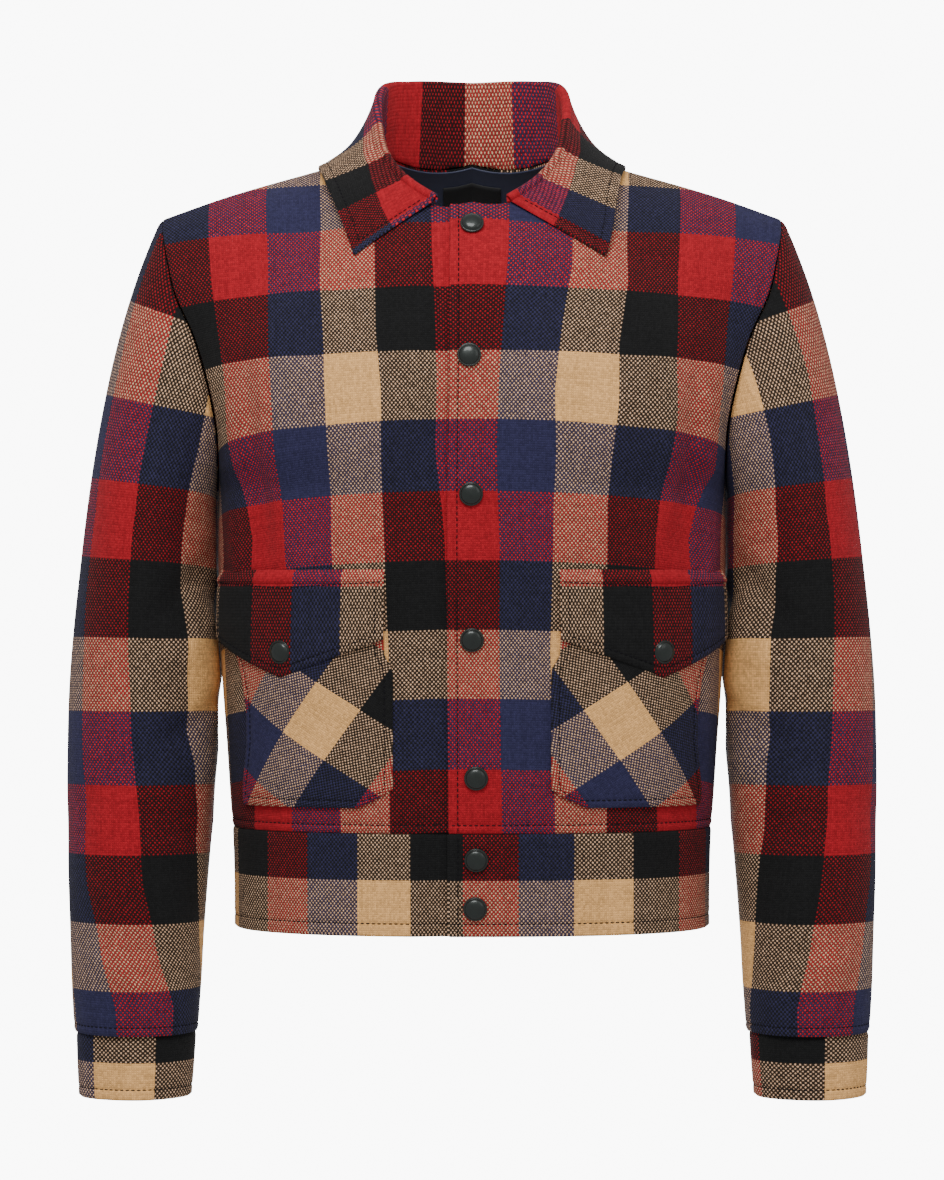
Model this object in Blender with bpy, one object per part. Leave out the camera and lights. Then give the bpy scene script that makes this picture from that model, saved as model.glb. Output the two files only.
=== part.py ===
"""A checked wool shirt jacket, filled out as if it were worn, with nothing inside it.

Metres, +Z up, the front faces -Y and the wearer's left is +X. The origin is the middle of
the neck base, between the shoulders, where a wearer holds the jacket up.
"""
import math

import bpy
import numpy as np
from mathutils import Vector
from mathutils.bvhtree import BVHTree

# Cloth and seams
WALL = 0.0022             # one layer of the wool cloth
DOUBLE_WALL = 0.0034      # waistband and cuffs, two layers pressed flat
LINING_WALL = 0.0012
LABEL_WALL = 0.0008
GAP = 0.0003              # between two pieces at a seam
ARMHOLE_GAP = 0.0005
SLEEVE_CLEARANCE = 0.0015 # between the inside of a sleeve and the body
SLACK = 0.0004            # between a piece and the panel that it lies on

# Heights
ARMPIT = -0.250
WAIST_SEAM = -0.5032
HEM = -0.5772
BICEP = -0.297
CUFF_SEAM = -0.6560
CUFF_END = -0.7020

# Front opening: the left front laps over the right one by twice this share of a front
LAP = 0.067
LAP_SINK = 0.0032         # how far the underlap lies behind the overlap
BAND_SINK = 0.0042
LAP_END = 0.084           # the underlap is full behind from here to its edge
LAP_START = 0.190

# Neck hole seen from above: an ellipse
HOLE_HALF_WIDTH = 0.0735
HOLE_HALF_DEPTH = 0.0745
HOLE_MIDDLE = -0.0125
NECK_PART = 0.309         # share of the shoulder line that the neck hole takes

# Body rings. Columns: height, half width, depth in front, depth behind
BODY_RINGS = (
    (-0.578, 0.1800, 0.1140, 0.1080),
    (-0.540, 0.1802, 0.1150, 0.1085),
    (-0.503, 0.1815, 0.1180, 0.1110),
    (-0.480, 0.1832, 0.1210, 0.1130),
    (-0.440, 0.1858, 0.1230, 0.1130),
    (-0.394, 0.1892, 0.1250, 0.1130),
    (-0.350, 0.1912, 0.1280, 0.1170),
    (-0.300, 0.1922, 0.1310, 0.1230),
    (-0.250, 0.1920, 0.1330, 0.1280),
)
RING_POWER = 2.4
RING_ASPECT = 0.67

# Middle of the front above the armpit. Columns: rise, y, z
FRONT_MIDDLE = (
    (0.000, -0.1330, -0.250),
    (0.157, -0.1345, -0.200),
    (0.313, -0.1315, -0.150),
    (0.458, -0.1225, -0.105),
    (0.592, -0.1070, -0.067),
    (0.705, -0.0870, -0.0385),
    (0.815, -0.0640, -0.0130),
    (0.918, -0.0420, 0.0070),
    (1.000, -0.0180, 0.0220),
)
# Middle of the back above the armpit. Columns: rise, y, z
BACK_MIDDLE = (
    (0.000, 0.1280, -0.250),
    (0.170, 0.1300, -0.190),
    (0.326, 0.1270, -0.135),
    (0.471, 0.1170, -0.085),
    (0.594, 0.1000, -0.043),
    (0.716, 0.0760, -0.008),
    (0.803, 0.0540, 0.0110),
    (0.903, 0.0200, 0.0250),
    (1.000, -0.0180, 0.0220),
)
# Front edge of the armhole. Columns: rise, x, y, z
FRONT_ARMHOLE = (
    (0.00, 0.1920, 0.0000, -0.2500),
    (0.15, 0.1900, -0.0380, -0.2330),
    (0.30, 0.1908, -0.0570, -0.2040),
    (0.45, 0.1970, -0.0630, -0.1720),
    (0.60, 0.2075, -0.0600, -0.1370),
    (0.75, 0.2235, -0.0500, -0.1010),
    (0.85, 0.2300, -0.0385, -0.0750),
    (0.93, 0.2338, -0.0260, -0.0570),
    (1.00, 0.2350, -0.0120, -0.0450),
)
# Back edge of the armhole. Columns: rise, x, y, z
BACK_ARMHOLE = (
    (0.00, 0.1920, 0.0000, -0.2500),
    (0.15, 0.1900, 0.0380, -0.2350),
    (0.30, 0.1910, 0.0590, -0.2060),
    (0.45, 0.1965, 0.0660, -0.1720),
    (0.60, 0.2060, 0.0640, -0.1360),
    (0.75, 0.2200, 0.0560, -0.0980),
    (0.85, 0.2285, 0.0430, -0.0690),
    (0.93, 0.2340, 0.0230, -0.0485),
    (1.00, 0.2350, -0.0120, -0.0450),
)
# Shoulder seam, carried on across the neck hole. Columns: part, x, y, z
SHOULDER_LINE = (
    (0.000, 0.0000, -0.0180, 0.0220),
    (0.309, 0.0735, -0.0180, 0.0035),
    (0.500, 0.1185, -0.0175, -0.0090),
    (0.800, 0.1885, -0.0155, -0.0290),
    (1.000, 0.2350, -0.0120, -0.0450),
)

# Sleeve rings. Columns: depth under the origin, inner x, outer x, middle y, half depth
SLEEVE_RINGS = (
    (0.297, 0.1945, 0.2962, 0.0020, 0.0760),
    (0.350, 0.1935, 0.3020, 0.0020, 0.0750),
    (0.394, 0.1920, 0.3055, 0.0010, 0.0730),
    (0.454, 0.1968, 0.3068, -0.0030, 0.0690),
    (0.524, 0.2006, 0.3060, -0.0110, 0.0630),
    (0.577, 0.2022, 0.3032, -0.0190, 0.0575),
    (0.629, 0.2042, 0.3008, -0.0260, 0.0515),
    (0.656, 0.2060, 0.2988, -0.0300, 0.0470),
)
# Cuff rings. Columns: depth under the origin, inner x, outer x, middle y, half depth
CUFF_RINGS = (
    (0.6563, 0.2078, 0.2975, -0.0300, 0.0430),
    (0.6800, 0.2092, 0.2966, -0.0320, 0.0405),
    (0.7020, 0.2108, 0.2954, -0.0340, 0.0390),
)
# Direction in which the sleeve leaves the armhole. Columns: turn, x, y, z
SLEEVE_START = (
    (0.00, 0.42, 0.00, -0.90),
    (0.25, 0.45, -0.30, -0.84),
    (0.50, 0.10, 0.00, -1.00),
    (0.75, 0.45, 0.30, -0.84),
    (1.00, 0.42, 0.00, -0.90),
)
# Broad soft folds of the sleeves. Columns: turn, depth under the origin, slope of the fold
# (depth for one turn), half length in turns, half width, height (a trough is negative)
SLEEVE_FOLDS = (
    (0.42, 0.320, 0.30, 0.14, 0.022, -0.0060),
    (0.36, 0.372, 0.25, 0.12, 0.020, 0.0030),
    (0.20, 0.470, -0.18, 0.16, 0.022, -0.0030),
    (0.62, 0.420, 0.10, 0.16, 0.020, -0.0050),
    (0.70, 0.462, 0.12, 0.14, 0.020, 0.0030),
    (0.30, 0.600, 0.16, 0.14, 0.018, -0.0030),
    (0.80, 0.560, -0.14, 0.15, 0.020, -0.0030),
)

# Collar. Columns: way from the middle of the back, roll x, y and z, edge x, y and z,
# radius of the roll, hollow of the fall
COLLAR_ROWS = (
    (0.00, 0.0000, 0.0690, 0.0690, 0.0000, 0.1040, -0.0020, 0.0034, 0.008),
    (0.25, 0.0450, 0.0570, 0.0685, 0.0640, 0.0900, -0.0050, 0.0033, 0.008),
    (0.42, 0.0655, 0.0310, 0.0615, 0.1080, 0.0520, -0.0060, 0.0031, 0.010),
    (0.52, 0.0690, 0.0080, 0.0470, 0.1150, 0.0220, -0.0060, 0.0029, 0.012),
    (0.62, 0.0680, -0.0180, 0.0270, 0.1155, -0.0120, -0.0050, 0.0028, 0.010),
    (0.72, 0.0635, -0.0430, 0.0060, 0.1110, -0.0450, -0.0150, 0.0027, 0.006),
    (0.81, 0.0545, -0.0605, -0.0095, 0.1050, -0.0700, -0.0330, 0.0026, 0.003),
    (0.91, 0.0415, -0.0750, -0.0225, 0.0985, -0.0880, -0.0560, 0.0025, 0.001),
    (1.00, 0.0262, -0.0834, -0.0325, 0.0920, -0.1000, -0.0790, 0.0026, 0.000),
)
COLLAR_LEAN = 0.006       # the two points of the collar lie this much further to +X

# Flat pieces on the front, by arc from the middle of the front and height.
FLAP_INNER = 0.0645
FLAP_WIDTH = 0.155
FLAP_TOP = -0.3105
FLAP_SIDE_DROP = 0.050
FLAP_POINT_DROP = 0.078
FLAP_STRIP = 0.009        # stitched strip along the top of a flap
# Patch pocket edges. Columns: height, arc of the inner edge, arc of the outer edge
POCKET_COLUMNS = 11
POCKET_SLACK = 0.0009
FLAP_LIFT = POCKET_SLACK + WALL + 0.0005
POCKET_ROWS = (
    (-0.4840, 0.0840, 0.1860),
    (-0.4780, 0.0705, 0.1870),
    (-0.4706, 0.0580, 0.1870),
    (-0.4560, 0.0580, 0.1835),
    (-0.4380, 0.0580, 0.1800),
    (-0.4120, 0.0580, 0.1795),
    (-0.3900, 0.0580, 0.1840),
    (-0.3700, 0.0590, 0.1920),
    (-0.3480, 0.0600, 0.2000),
    (-0.3240, 0.0610, 0.2060),
)

# Snaps
SNAP_RADIUS = 0.00875
# Profile of a snap cap. Columns: share of the radius, height
SNAP_PROFILE = ((1.00, 0.0), (1.00, 0.0009), (0.86, 0.0016), (0.72, 0.0030), (0.40, 0.0037))
SNAP_SIDES = 12
# Front snaps. Columns: name, x, z
FRONT_SNAPS = (
    ("snap_front_1", 0.0000, -0.0563),
    ("snap_front_2", -0.0020, -0.1544),
    ("snap_front_3", -0.0007, -0.2553),
    ("snap_front_4", 0.0000, -0.3613),
    ("snap_front_5", 0.0030, -0.4622),
    ("snap_band_1", 0.0030, -0.5221),
    ("snap_band_2", 0.0022, -0.5579),
)
FLAP_SNAP_RISE = 0.0185   # flap snap above the flap's point

# Lengths that one unit of a panel's part and level stand for
PANEL_WIDTH = 0.26
PANEL_HEIGHT = 0.25

# Grid densities
LOWER_ROWS = 8
UPPER_ROWS = 10
NECK_PARTS = (0.109, 0.190, 0.253, 0.294, NECK_PART)
SIDE_COLUMNS = 6
SLEEVE_TURNS = 2 * UPPER_ROWS
CAP_ROWS = 7
ARM_ROWS = 12
COLLAR_STATIONS = 37
LINING_ROWS = 5           # rows of the back that the lining covers


def smooth(rows, at):
    """Values of a table at given places, on one smooth curve through its rows.

    The first column of the table is the place, in rising order.
    """
    table = np.array(rows, dtype=float)
    places = table[:, 0]
    values = table[:, 1:]
    slopes = np.gradient(values, places, axis=0)
    at = np.clip(np.asarray(at, dtype=float), places[0], places[-1])
    low = np.clip(np.searchsorted(places, at) - 1, 0, len(places) - 2)
    step = (places[low + 1] - places[low])[..., None]
    part = (at - places[low])[..., None] / step
    value = (1 + 2 * part) * (1 - part) ** 2 * values[low]
    value = value + part * (1 - part) ** 2 * step * slopes[low]
    value = value + part ** 2 * (3 - 2 * part) * values[low + 1]
    return value + part ** 2 * (part - 1) * step * slopes[low + 1]


def unit(vectors):
    """Vectors of length one."""
    return vectors / np.maximum(np.linalg.norm(vectors, axis=-1, keepdims=True), 1e-9)


def ease(low, high, value):
    """0 under low, 1 over high, and a soft step between them."""
    part = np.clip((value - low) / (high - low), 0.0, 1.0)
    return part * part * (3 - 2 * part)


def quarter_ring():
    """Share of the length, and the across and along factors, of a quarter ring."""
    angle = np.linspace(0.0, math.pi / 2, 721)
    across = np.sin(angle) ** (2 / RING_POWER)
    along = np.cos(angle) ** (2 / RING_POWER)
    steps = np.hypot(np.diff(across), RING_ASPECT * np.diff(along))
    length = np.concatenate([[0.0], np.cumsum(steps)])
    return length / length[-1], across, along


RING_SHARE, RING_ACROSS, RING_ALONG = quarter_ring()


def body_ring(share, z):
    """Outer point of the body under the armpits.

    Share 0 is the middle of the front, 1 the +X side seam and 2 the middle of the back.
    """
    width, front, back = np.moveaxis(smooth(BODY_RINGS, z), -1, 0)
    away = np.abs(share)
    part = np.where(away <= 1, away, 2 - away)
    along = np.interp(part, RING_SHARE, RING_ALONG)
    x = np.sign(share) * width * np.interp(part, RING_SHARE, RING_ACROSS)
    y = np.where(away <= 1, -front * along, back * along)
    return np.stack(np.broadcast_arrays(x, y, z), axis=-1)


def upper_patch(part, rise, behind):
    """Outer point above the armpits, on a patch blended between its four edges.

    Part 0 is the middle and 1 the armhole; rise 0 is the armpit and 1 the shoulder seam.
    """
    part, rise = np.broadcast_arrays(np.asarray(part, float), np.asarray(rise, float))
    across = np.abs(part)
    armpit = np.full_like(across, ARMPIT)
    foot = body_ring(2 - across if behind else across, armpit)
    head = smooth(SHOULDER_LINE, across)
    spine = smooth(BACK_MIDDLE if behind else FRONT_MIDDLE, rise)
    spine = np.concatenate([np.zeros_like(spine[..., :1]), spine], axis=-1)
    rim = smooth(BACK_ARMHOLE if behind else FRONT_ARMHOLE, rise)
    side = body_ring(np.ones_like(across), armpit)
    middle = body_ring(np.full_like(across, 2.0 if behind else 0.0), armpit)
    tip = smooth(SHOULDER_LINE, np.ones_like(across))
    peak = smooth(SHOULDER_LINE, np.zeros_like(across))
    a = across[..., None]
    r = rise[..., None]
    corners = (1 - a) * (1 - r) * middle + (1 - a) * r * peak + a * (1 - r) * side + a * r * tip
    point = (1 - r) * foot + r * head + (1 - a) * spine + a * rim - corners
    point[..., 0] *= np.where(part < 0, -1.0, 1.0)
    return point


def in_hole(point):
    """Under 0 inside the neck hole seen from above, over 0 outside it."""
    across = point[..., 0] / HOLE_HALF_WIDTH
    along = (point[..., 1] - HOLE_MIDDLE) / HOLE_HALF_DEPTH
    return across ** 2 + along ** 2 - 1


def neck_rise(part, behind):
    """Rise at which a column of the upper patch meets the neck hole, at most 1."""
    low = np.full(np.shape(part), 0.4)
    high = np.ones(np.shape(part))
    for _ in range(26):
        middle = (low + high) / 2
        outside = in_hole(upper_patch(part, middle, behind)) > 0
        low = np.where(outside, middle, low)
        high = np.where(outside, high, middle)
    return np.where(np.abs(part) >= NECK_PART, 1.0, (low + high) / 2)


def body_point(part, level, behind, cut=True):
    """Outer point of the body; level 0 is the waist seam, 1 the armpit and 2 the top edge.

    Part runs from -1 to 1 between the sides, 0 in the middle.
    """
    part, level = np.broadcast_arrays(np.asarray(part, float), np.asarray(level, float))
    z = WAIST_SEAM + (ARMPIT - WAIST_SEAM) * np.clip(level, 0, 1)
    share = np.where(part < 0, -1.0, 1.0) * (2 - np.abs(part)) if behind else part
    lower = body_ring(share, z)
    top = neck_rise(part, behind) if cut else 1.0
    upper = upper_patch(part, np.clip(level - 1, 0, 1) * top, behind)
    return np.where((level > 1)[..., None], upper, lower)


def grid_normals(grid, ring=False):
    """Unit normals of a grid of points, across its columns and along its rows."""
    along = np.gradient(grid, axis=0)
    if ring:
        across = np.roll(grid, -1, axis=1) - np.roll(grid, 1, axis=1)
    else:
        across = np.gradient(grid, axis=1)
    return unit(np.cross(across, along))


def body_surface():
    """Tree of the whole outer surface of the body, with the neck hole closed over."""
    points = []
    faces = []
    part = np.linspace(-1, 1, 61)
    level = np.linspace(0, 2, 61)
    for behind in (False, True):
        grid = body_point(part[None, :] * (-1 if behind else 1), level[:, None], behind, False)
        start = len(points)
        points.extend(Vector(p) for p in grid.reshape(-1, 3))
        for row in range(60):
            for column in range(60):
                a = start + row * 61 + column
                faces.append((a, a + 1, a + 62, a + 61))
    return BVHTree.FromPolygons(points, faces)


BODY = body_surface()


def push_off(grid, clearance, beside=True):
    """Points moved out so that each is at least this far off the body's surface.

    Without beside, points that lie past the surface's edge stay as they are.
    """
    moved = grid.copy()
    for index in np.ndindex(grid.shape[:-1]):
        point = Vector(grid[index])
        place, normal, _, _ = BODY.find_nearest(point)
        away = (point - place).dot(normal)
        past_edge = (point - place - normal * away).length > 0.0005
        if away < clearance and (beside or not past_edge):
            moved[index] = point + normal * (clearance - away)
    return moved


def ring_part(arc, z):
    """Part of a front at an arc length from its middle, at each height."""
    width, front, _ = np.moveaxis(smooth(BODY_RINGS, z), -1, 0)
    steps = np.hypot(np.diff(RING_ACROSS) * width[..., None], np.diff(RING_ALONG) * front[..., None])
    return arc / steps.sum(axis=-1)


def on_front(arc, z, lift):
    """Point on the front under the armpits, lifted off it; arc is signed, + to +X."""
    arc, z, lift = np.broadcast_arrays(*(np.asarray(v, float) for v in (arc, z, lift)))
    nudge = 0.0005
    part = ring_part(arc, z)
    point = body_ring(part, z)
    aside = body_ring(part + nudge, z) - body_ring(part - nudge, z)
    above = body_ring(part, z + nudge) - body_ring(part, z - nudge)
    return point + unit(np.cross(aside, above)) * lift[..., None]


def sleeve_ring(turn, depth, rings):
    """Outer point of a sleeve or cuff ring; turn 0 is outside, 0.25 front, 0.5 inside."""
    inner, outer, middle, half_depth = np.moveaxis(smooth(rings, depth), -1, 0)
    angle = 2 * math.pi * turn
    x = (inner + outer) / 2 + (outer - inner) / 2 * np.cos(angle)
    y = middle - half_depth * np.sin(angle)
    return np.stack(np.broadcast_arrays(x, y, -depth), axis=-1)


def armhole(turn):
    """Point of the armhole seam; turn 0 is the shoulder and 0.5 the armpit."""
    front = smooth(FRONT_ARMHOLE, np.abs(1 - 2 * turn))
    back = smooth(BACK_ARMHOLE, np.abs(2 * turn - 1))
    return np.where((turn <= 0.5)[..., None], front, back)


def fold_height(turn, depth, folds):
    """Height of a table of soft folds at a place on a tube."""
    total = np.zeros(np.broadcast(turn, depth).shape)
    for at_turn, at_depth, slope, half_length, half_width, height in folds:
        away = (turn - at_turn + 0.5) % 1.0 - 0.5
        off = depth - at_depth - slope * away
        total += height * np.exp(-(away / half_length) ** 2 - (off / half_width) ** 2)
    return total


def sleeve_grid(turns, cap_rows, arm_rows):
    """Outer points of the +X sleeve, rows from the armhole down to the cuff seam."""
    turn = np.arange(turns) / turns
    start = armhole(turn) + np.array([ARMHOLE_GAP, 0, 0])
    bicep = np.full(turns, -BICEP)
    end = sleeve_ring(turn, bicep, SLEEVE_RINGS)
    reach = np.linalg.norm(end - start, axis=1, keepdims=True)
    leave = unit(smooth(SLEEVE_START, turn)) * reach
    arrive = unit(sleeve_ring(turn, bicep + 0.02, SLEEVE_RINGS) - end) * reach
    rows = []
    for part in np.linspace(0, 1, cap_rows + 1)[:-1]:
        row = (1 + 2 * part) * (1 - part) ** 2 * start + part * (1 - part) ** 2 * leave
        rows.append(row + part ** 2 * (3 - 2 * part) * end + part ** 2 * (part - 1) * arrive)
    for depth in np.linspace(-BICEP, -CUFF_SEAM - GAP, arm_rows + 1):
        rows.append(sleeve_ring(turn, np.full(turns, depth), SLEEVE_RINGS))
    grid = np.array(rows)
    height = fold_height(turn[None, :], -grid[..., 2], SLEEVE_FOLDS)
    fade = ease(-BICEP - 0.03, -BICEP + 0.03, -grid[..., 2])
    return grid + grid_normals(grid, ring=True) * (height * fade)[..., None]


def make_material(name, colour, roughness):
    """A plain Principled material."""
    material = bpy.data.materials.new(name)
    material.use_nodes = True
    shader = material.node_tree.nodes["Principled BSDF"]
    shader.inputs["Base Color"].default_value = (*colour, 1.0)
    shader.inputs["Roughness"].default_value = roughness
    return material


def add_mesh(name, points, faces, material, smooth_angle=40.0):
    """A named object from points and faces."""
    mesh = bpy.data.meshes.new(name)
    mesh.from_pydata([tuple(p) for p in points], [], faces)
    mesh.validate()
    mesh.shade_smooth()
    mesh.set_sharp_from_angle(angle=math.radians(smooth_angle))
    mesh.materials.append(material)
    part = bpy.data.objects.new(name, mesh)
    bpy.context.scene.collection.objects.link(part)
    return part


def add_sheet(name, outer, inner, material, ring=False, flip=False):
    """A closed wall between two grids of points, or a wall all round when ring is set."""
    rows, columns = outer.shape[:2]
    count = rows * columns
    points = np.concatenate([outer.reshape(-1, 3), inner.reshape(-1, 3)])
    faces = []
    last = columns if ring else columns - 1
    for row in range(rows - 1):
        for column in range(last):
            a = row * columns + column
            b = row * columns + (column + 1) % columns
            for half in ((a, b, b + columns), (a, b + columns, a + columns)):
                faces.append(half)
                faces.append(tuple(count + i for i in reversed(half)))
    edge = [(c, (c + 1) % columns) for c in range(last)]
    end = (rows - 1) * columns
    rims = [(b, a) for a, b in edge] + [(end + a, end + b) for a, b in edge]
    if not ring:
        for row in range(rows - 1):
            a = row * columns
            rims.append((a, a + columns))
            rims.append((a + 2 * columns - 1, a + columns - 1))
    faces.extend((a, b, count + b, count + a) for a, b in rims)
    if flip:
        faces = [tuple(reversed(face)) for face in faces]
    return add_mesh(name, points, faces, material)


def square_sides(normals, share):
    """Turn the wall of a panel square to the side seam along its side columns."""
    for column in np.flatnonzero(np.abs(np.abs(share) - 1) < 0.01):
        normals[:, column, 1] = 0.0
    return unit(normals)


def panel_parts(start):
    """Columns of a panel from its start to its side, with one at the neck point."""
    far = np.linspace(NECK_PART, 1 - GAP / PANEL_WIDTH, SIDE_COLUMNS + 1)
    return np.concatenate([start, NECK_PARTS, far[1:]])


FRONT_PARTS = panel_parts((-LAP, 0.0, LAP_END))
BACK_PARTS = panel_parts((0.0,))


def panel_levels():
    """Rows of a body panel from the waist seam to the top edge."""
    low = np.linspace(GAP / PANEL_HEIGHT, 1, LOWER_ROWS + 1)
    high = np.linspace(1, 2 - GAP / PANEL_HEIGHT, UPPER_ROWS + 1)
    return np.concatenate([low, high[1:]])


def panel_grid(part, behind):
    """Outer points of a body panel and the directions in which its wall is thick."""
    outer = body_point(part[None, :], panel_levels()[:, None], behind)
    normals = grid_normals(outer)
    normals[:LOWER_ROWS] = square_sides(normals[:LOWER_ROWS], part)
    seam = np.abs(part) >= NECK_PART
    slope = unit(np.array(SHOULDER_LINE[-1][1:]) - np.array(SHOULDER_LINE[1][1:]))
    above = np.stack([-slope[2] * np.sign(part), 0 * part, slope[0] + 0 * part], axis=-1)
    normals[-1, seam] = above[seam]
    return outer, normals


def make_fronts(cloth):
    """The two fronts; the left one laps over the right one."""
    outer, normals = panel_grid(FRONT_PARTS, False)
    add_sheet("front_left", outer, outer - normals * WALL, cloth)
    part = -FRONT_PARTS[::-1]
    outer, normals = panel_grid(part, False)
    sink = LAP_SINK * ease(-LAP_START, -LAP_END, part)
    outer = outer - normals * sink[None, :, None]
    add_sheet("front_right", outer, outer - normals * WALL, cloth)


def back_grid():
    """Outer points and wall directions of the back."""
    return panel_grid(np.concatenate([BACK_PARTS[::-1], -BACK_PARTS[1:]]), True)


def make_back(cloth):
    """The back, one panel from side to side."""
    outer, normals = back_grid()
    add_sheet("back", outer, outer - normals * WALL, cloth)


def mirrored(grid, side):
    """The grid, or its mirror image for the -X side."""
    return grid * np.array([side, 1, 1])


def armhole_inward():
    """Directions in which the sleeve's wall is thick along the armhole seam."""
    front = panel_grid(FRONT_PARTS, False)[1][LOWER_ROWS:, -1]
    back = back_grid()[1][LOWER_ROWS:, 0]
    wall = np.concatenate([front[:0:-1], back[:-1]])
    seam = armhole(np.arange(SLEEVE_TURNS) / SLEEVE_TURNS)
    centre = unit((seam.mean(axis=0) - seam) * np.array([0, 1, 1]))
    return unit(0.5 * centre * np.abs(wall[:, :1]) - wall * np.array([0, 1, 1]))


def make_sleeves(cloth):
    """The two set-in sleeves."""
    outer = sleeve_grid(SLEEVE_TURNS, CAP_ROWS, ARM_ROWS)
    outer[1:] = push_off(outer[1:], SLEEVE_CLEARANCE, beside=False)
    inner = outer - grid_normals(outer, ring=True) * WALL
    inner[0] = outer[0] + armhole_inward() * WALL
    for name, side in (("sleeve_left", 1), ("sleeve_right", -1)):
        add_sheet(name, mirrored(outer, side), mirrored(inner, side), cloth, True, side < 0)


def make_cuffs(cloth):
    """The two cuffs, closed all round."""
    turn = np.arange(SLEEVE_TURNS) / SLEEVE_TURNS
    depths = np.linspace(-CUFF_SEAM + GAP, -CUFF_END, 4)
    outer = np.array([sleeve_ring(turn, np.full(SLEEVE_TURNS, d), CUFF_RINGS) for d in depths])
    inner = outer - grid_normals(outer, ring=True) * DOUBLE_WALL
    for name, side in (("cuff_left", 1), ("cuff_right", -1)):
        add_sheet(name, mirrored(outer, side), mirrored(inner, side), cloth, True, side < 0)


def make_waistband(cloth):
    """The waistband in three lengths, with its front ends lapped."""
    z = np.linspace(HEM, WAIST_SEAM - GAP, 4)[:, None]
    behind = 2 - BACK_PARTS
    pieces = {
        "waistband_left": FRONT_PARTS,
        "waistband_right": -FRONT_PARTS[::-1],
        "waistband_back": np.concatenate([behind[::-1], -behind[1:]]),
    }
    for name, share in pieces.items():
        outer = body_ring(*np.broadcast_arrays(share[None, :], z))
        normals = square_sides(grid_normals(outer), share)
        if name == "waistband_right":
            sink = BAND_SINK * ease(-LAP_START, -LAP_END, share)
            outer = outer - normals * sink[None, :, None]
        add_sheet(name, outer, outer - normals * DOUBLE_WALL, cloth)


def neck_line():
    """Share of the length, and points, of the neck seam from the back to the collar's end."""
    parts = np.array(NECK_PARTS)
    behind = body_point(np.concatenate([[0.0], parts]), np.full(len(parts) + 1, 2.0), True)
    front = body_point(parts[-2::-1], np.full(len(parts) - 1, 2.0), False)
    points = np.concatenate([behind, front])
    steps = np.linalg.norm(np.diff(points, axis=0), axis=1)
    length = np.concatenate([[0.0], np.cumsum(steps)])
    return length / length[-1], points


NECK_SHARE, NECK_POINTS = neck_line()


def neck_seam(way):
    """Point of the neck seam; way 0 is the middle of the back and 1 the collar's end."""
    point = [np.interp(abs(way), NECK_SHARE, NECK_POINTS[:, axis]) for axis in range(3)]
    return np.array(point) * np.array([-1.0 if way < 0 else 1.0, 1, 1])


def collar_roll(way):
    """Point of the line along which the collar rolls over."""
    near = np.clip(abs(way), 0.0, 0.999)
    return smooth(COLLAR_ROWS, near)[0:3] * np.array([-1.0 if way < 0 else 1.0, 1, 1])


def collar_section(way):
    """Middle line of the collar's cloth at one station, from the neck seam to the edge."""
    row = smooth(COLLAR_ROWS, abs(way))
    side = np.array([-1.0 if way < 0 else 1.0, 1, 1])
    roll = row[0:3] * side
    edge = row[3:6] * side + np.array([COLLAR_LEAN * ease(0.7, 1.0, abs(way)), 0, 0])
    radius, hollow = row[6:8]
    seam = neck_seam(way)
    normal = np.array(BODY.find_nearest(Vector(seam))[1])
    lying = ease(0.62, 0.95, abs(way))
    run = unit(collar_roll(way + 0.02) - collar_roll(way - 0.02))
    up = (1 - lying) * np.array([0.0, 0.0, 1.0]) + lying * normal
    up = unit(up - run * np.dot(up, run))
    out = np.cross(run, up)
    out = out * np.sign(np.dot(out, edge - roll))
    foot = seam + up * (GAP + 0.0004) - out * WALL * 0.5 * (1 - lying)
    top = roll - up * radius
    height = np.dot(top - foot, up)
    if height < 0.0006:
        top = top + up * (0.0006 - height)
    line = [foot + (top - foot) * t for t in (0, 0.35, 0.7, 1.0)]
    for angle in np.linspace(0, math.pi, 6)[1:]:
        line.append(top + radius * (out * (1 - math.cos(angle)) + up * math.sin(angle)))
    start = line[-1]
    control = (start + edge) / 2 - out * hollow
    for t in (0.2, 0.4, 0.6, 0.8, 1.0):
        line.append((1 - t) ** 2 * start + 2 * t * (1 - t) * control + t * t * edge)
    line = np.array(line)
    line[6:] = push_off(line[6:], WALL / 2 + 2 * SLACK)
    return line


def make_collar(cloth):
    """The collar: a stand that rolls over into the fall, with its two points."""
    middle = np.array([collar_section(w) for w in np.linspace(-1, 1, COLLAR_STATIONS)])
    normals = grid_normals(middle)
    add_sheet("collar", middle + normals * WALL / 2, middle - normals * WALL / 2, cloth)


def make_lining(material):
    """The dark lining inside the back of the neck."""
    outer, normals = back_grid()
    middle = len(BACK_PARTS) - 1
    across = slice(middle - len(NECK_PARTS) + 1, middle + len(NECK_PARTS))
    down = slice(-LINING_ROWS, None)
    normals = normals[down, across]
    near = outer[down, across] - normals * (WALL + SLACK)
    add_sheet("neck_lining", near, near - normals * LINING_WALL, material)


def make_label(material):
    """The bare label on the lining."""
    outer, normals = back_grid()
    middle = len(BACK_PARTS) - 1
    across = slice(middle - 1, middle + 2)
    down = slice(-LINING_ROWS + 1, -1)
    normals = normals[down, across]
    near = outer[down, across] - normals * (WALL + LINING_WALL + 2 * SLACK)
    add_sheet("neck_label", near, near - normals * LABEL_WALL, material)


def pocket_grid(lift, side):
    """Points of a patch pocket at one lift off the front."""
    rows = []
    for z, inner, outer in POCKET_ROWS:
        rows.append(on_front(side * np.linspace(inner, outer, POCKET_COLUMNS), z, 0.0))
    grid = np.array(rows)
    normals = grid_normals(grid) * side
    return push_off(grid, POCKET_SLACK) + normals * lift


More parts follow.
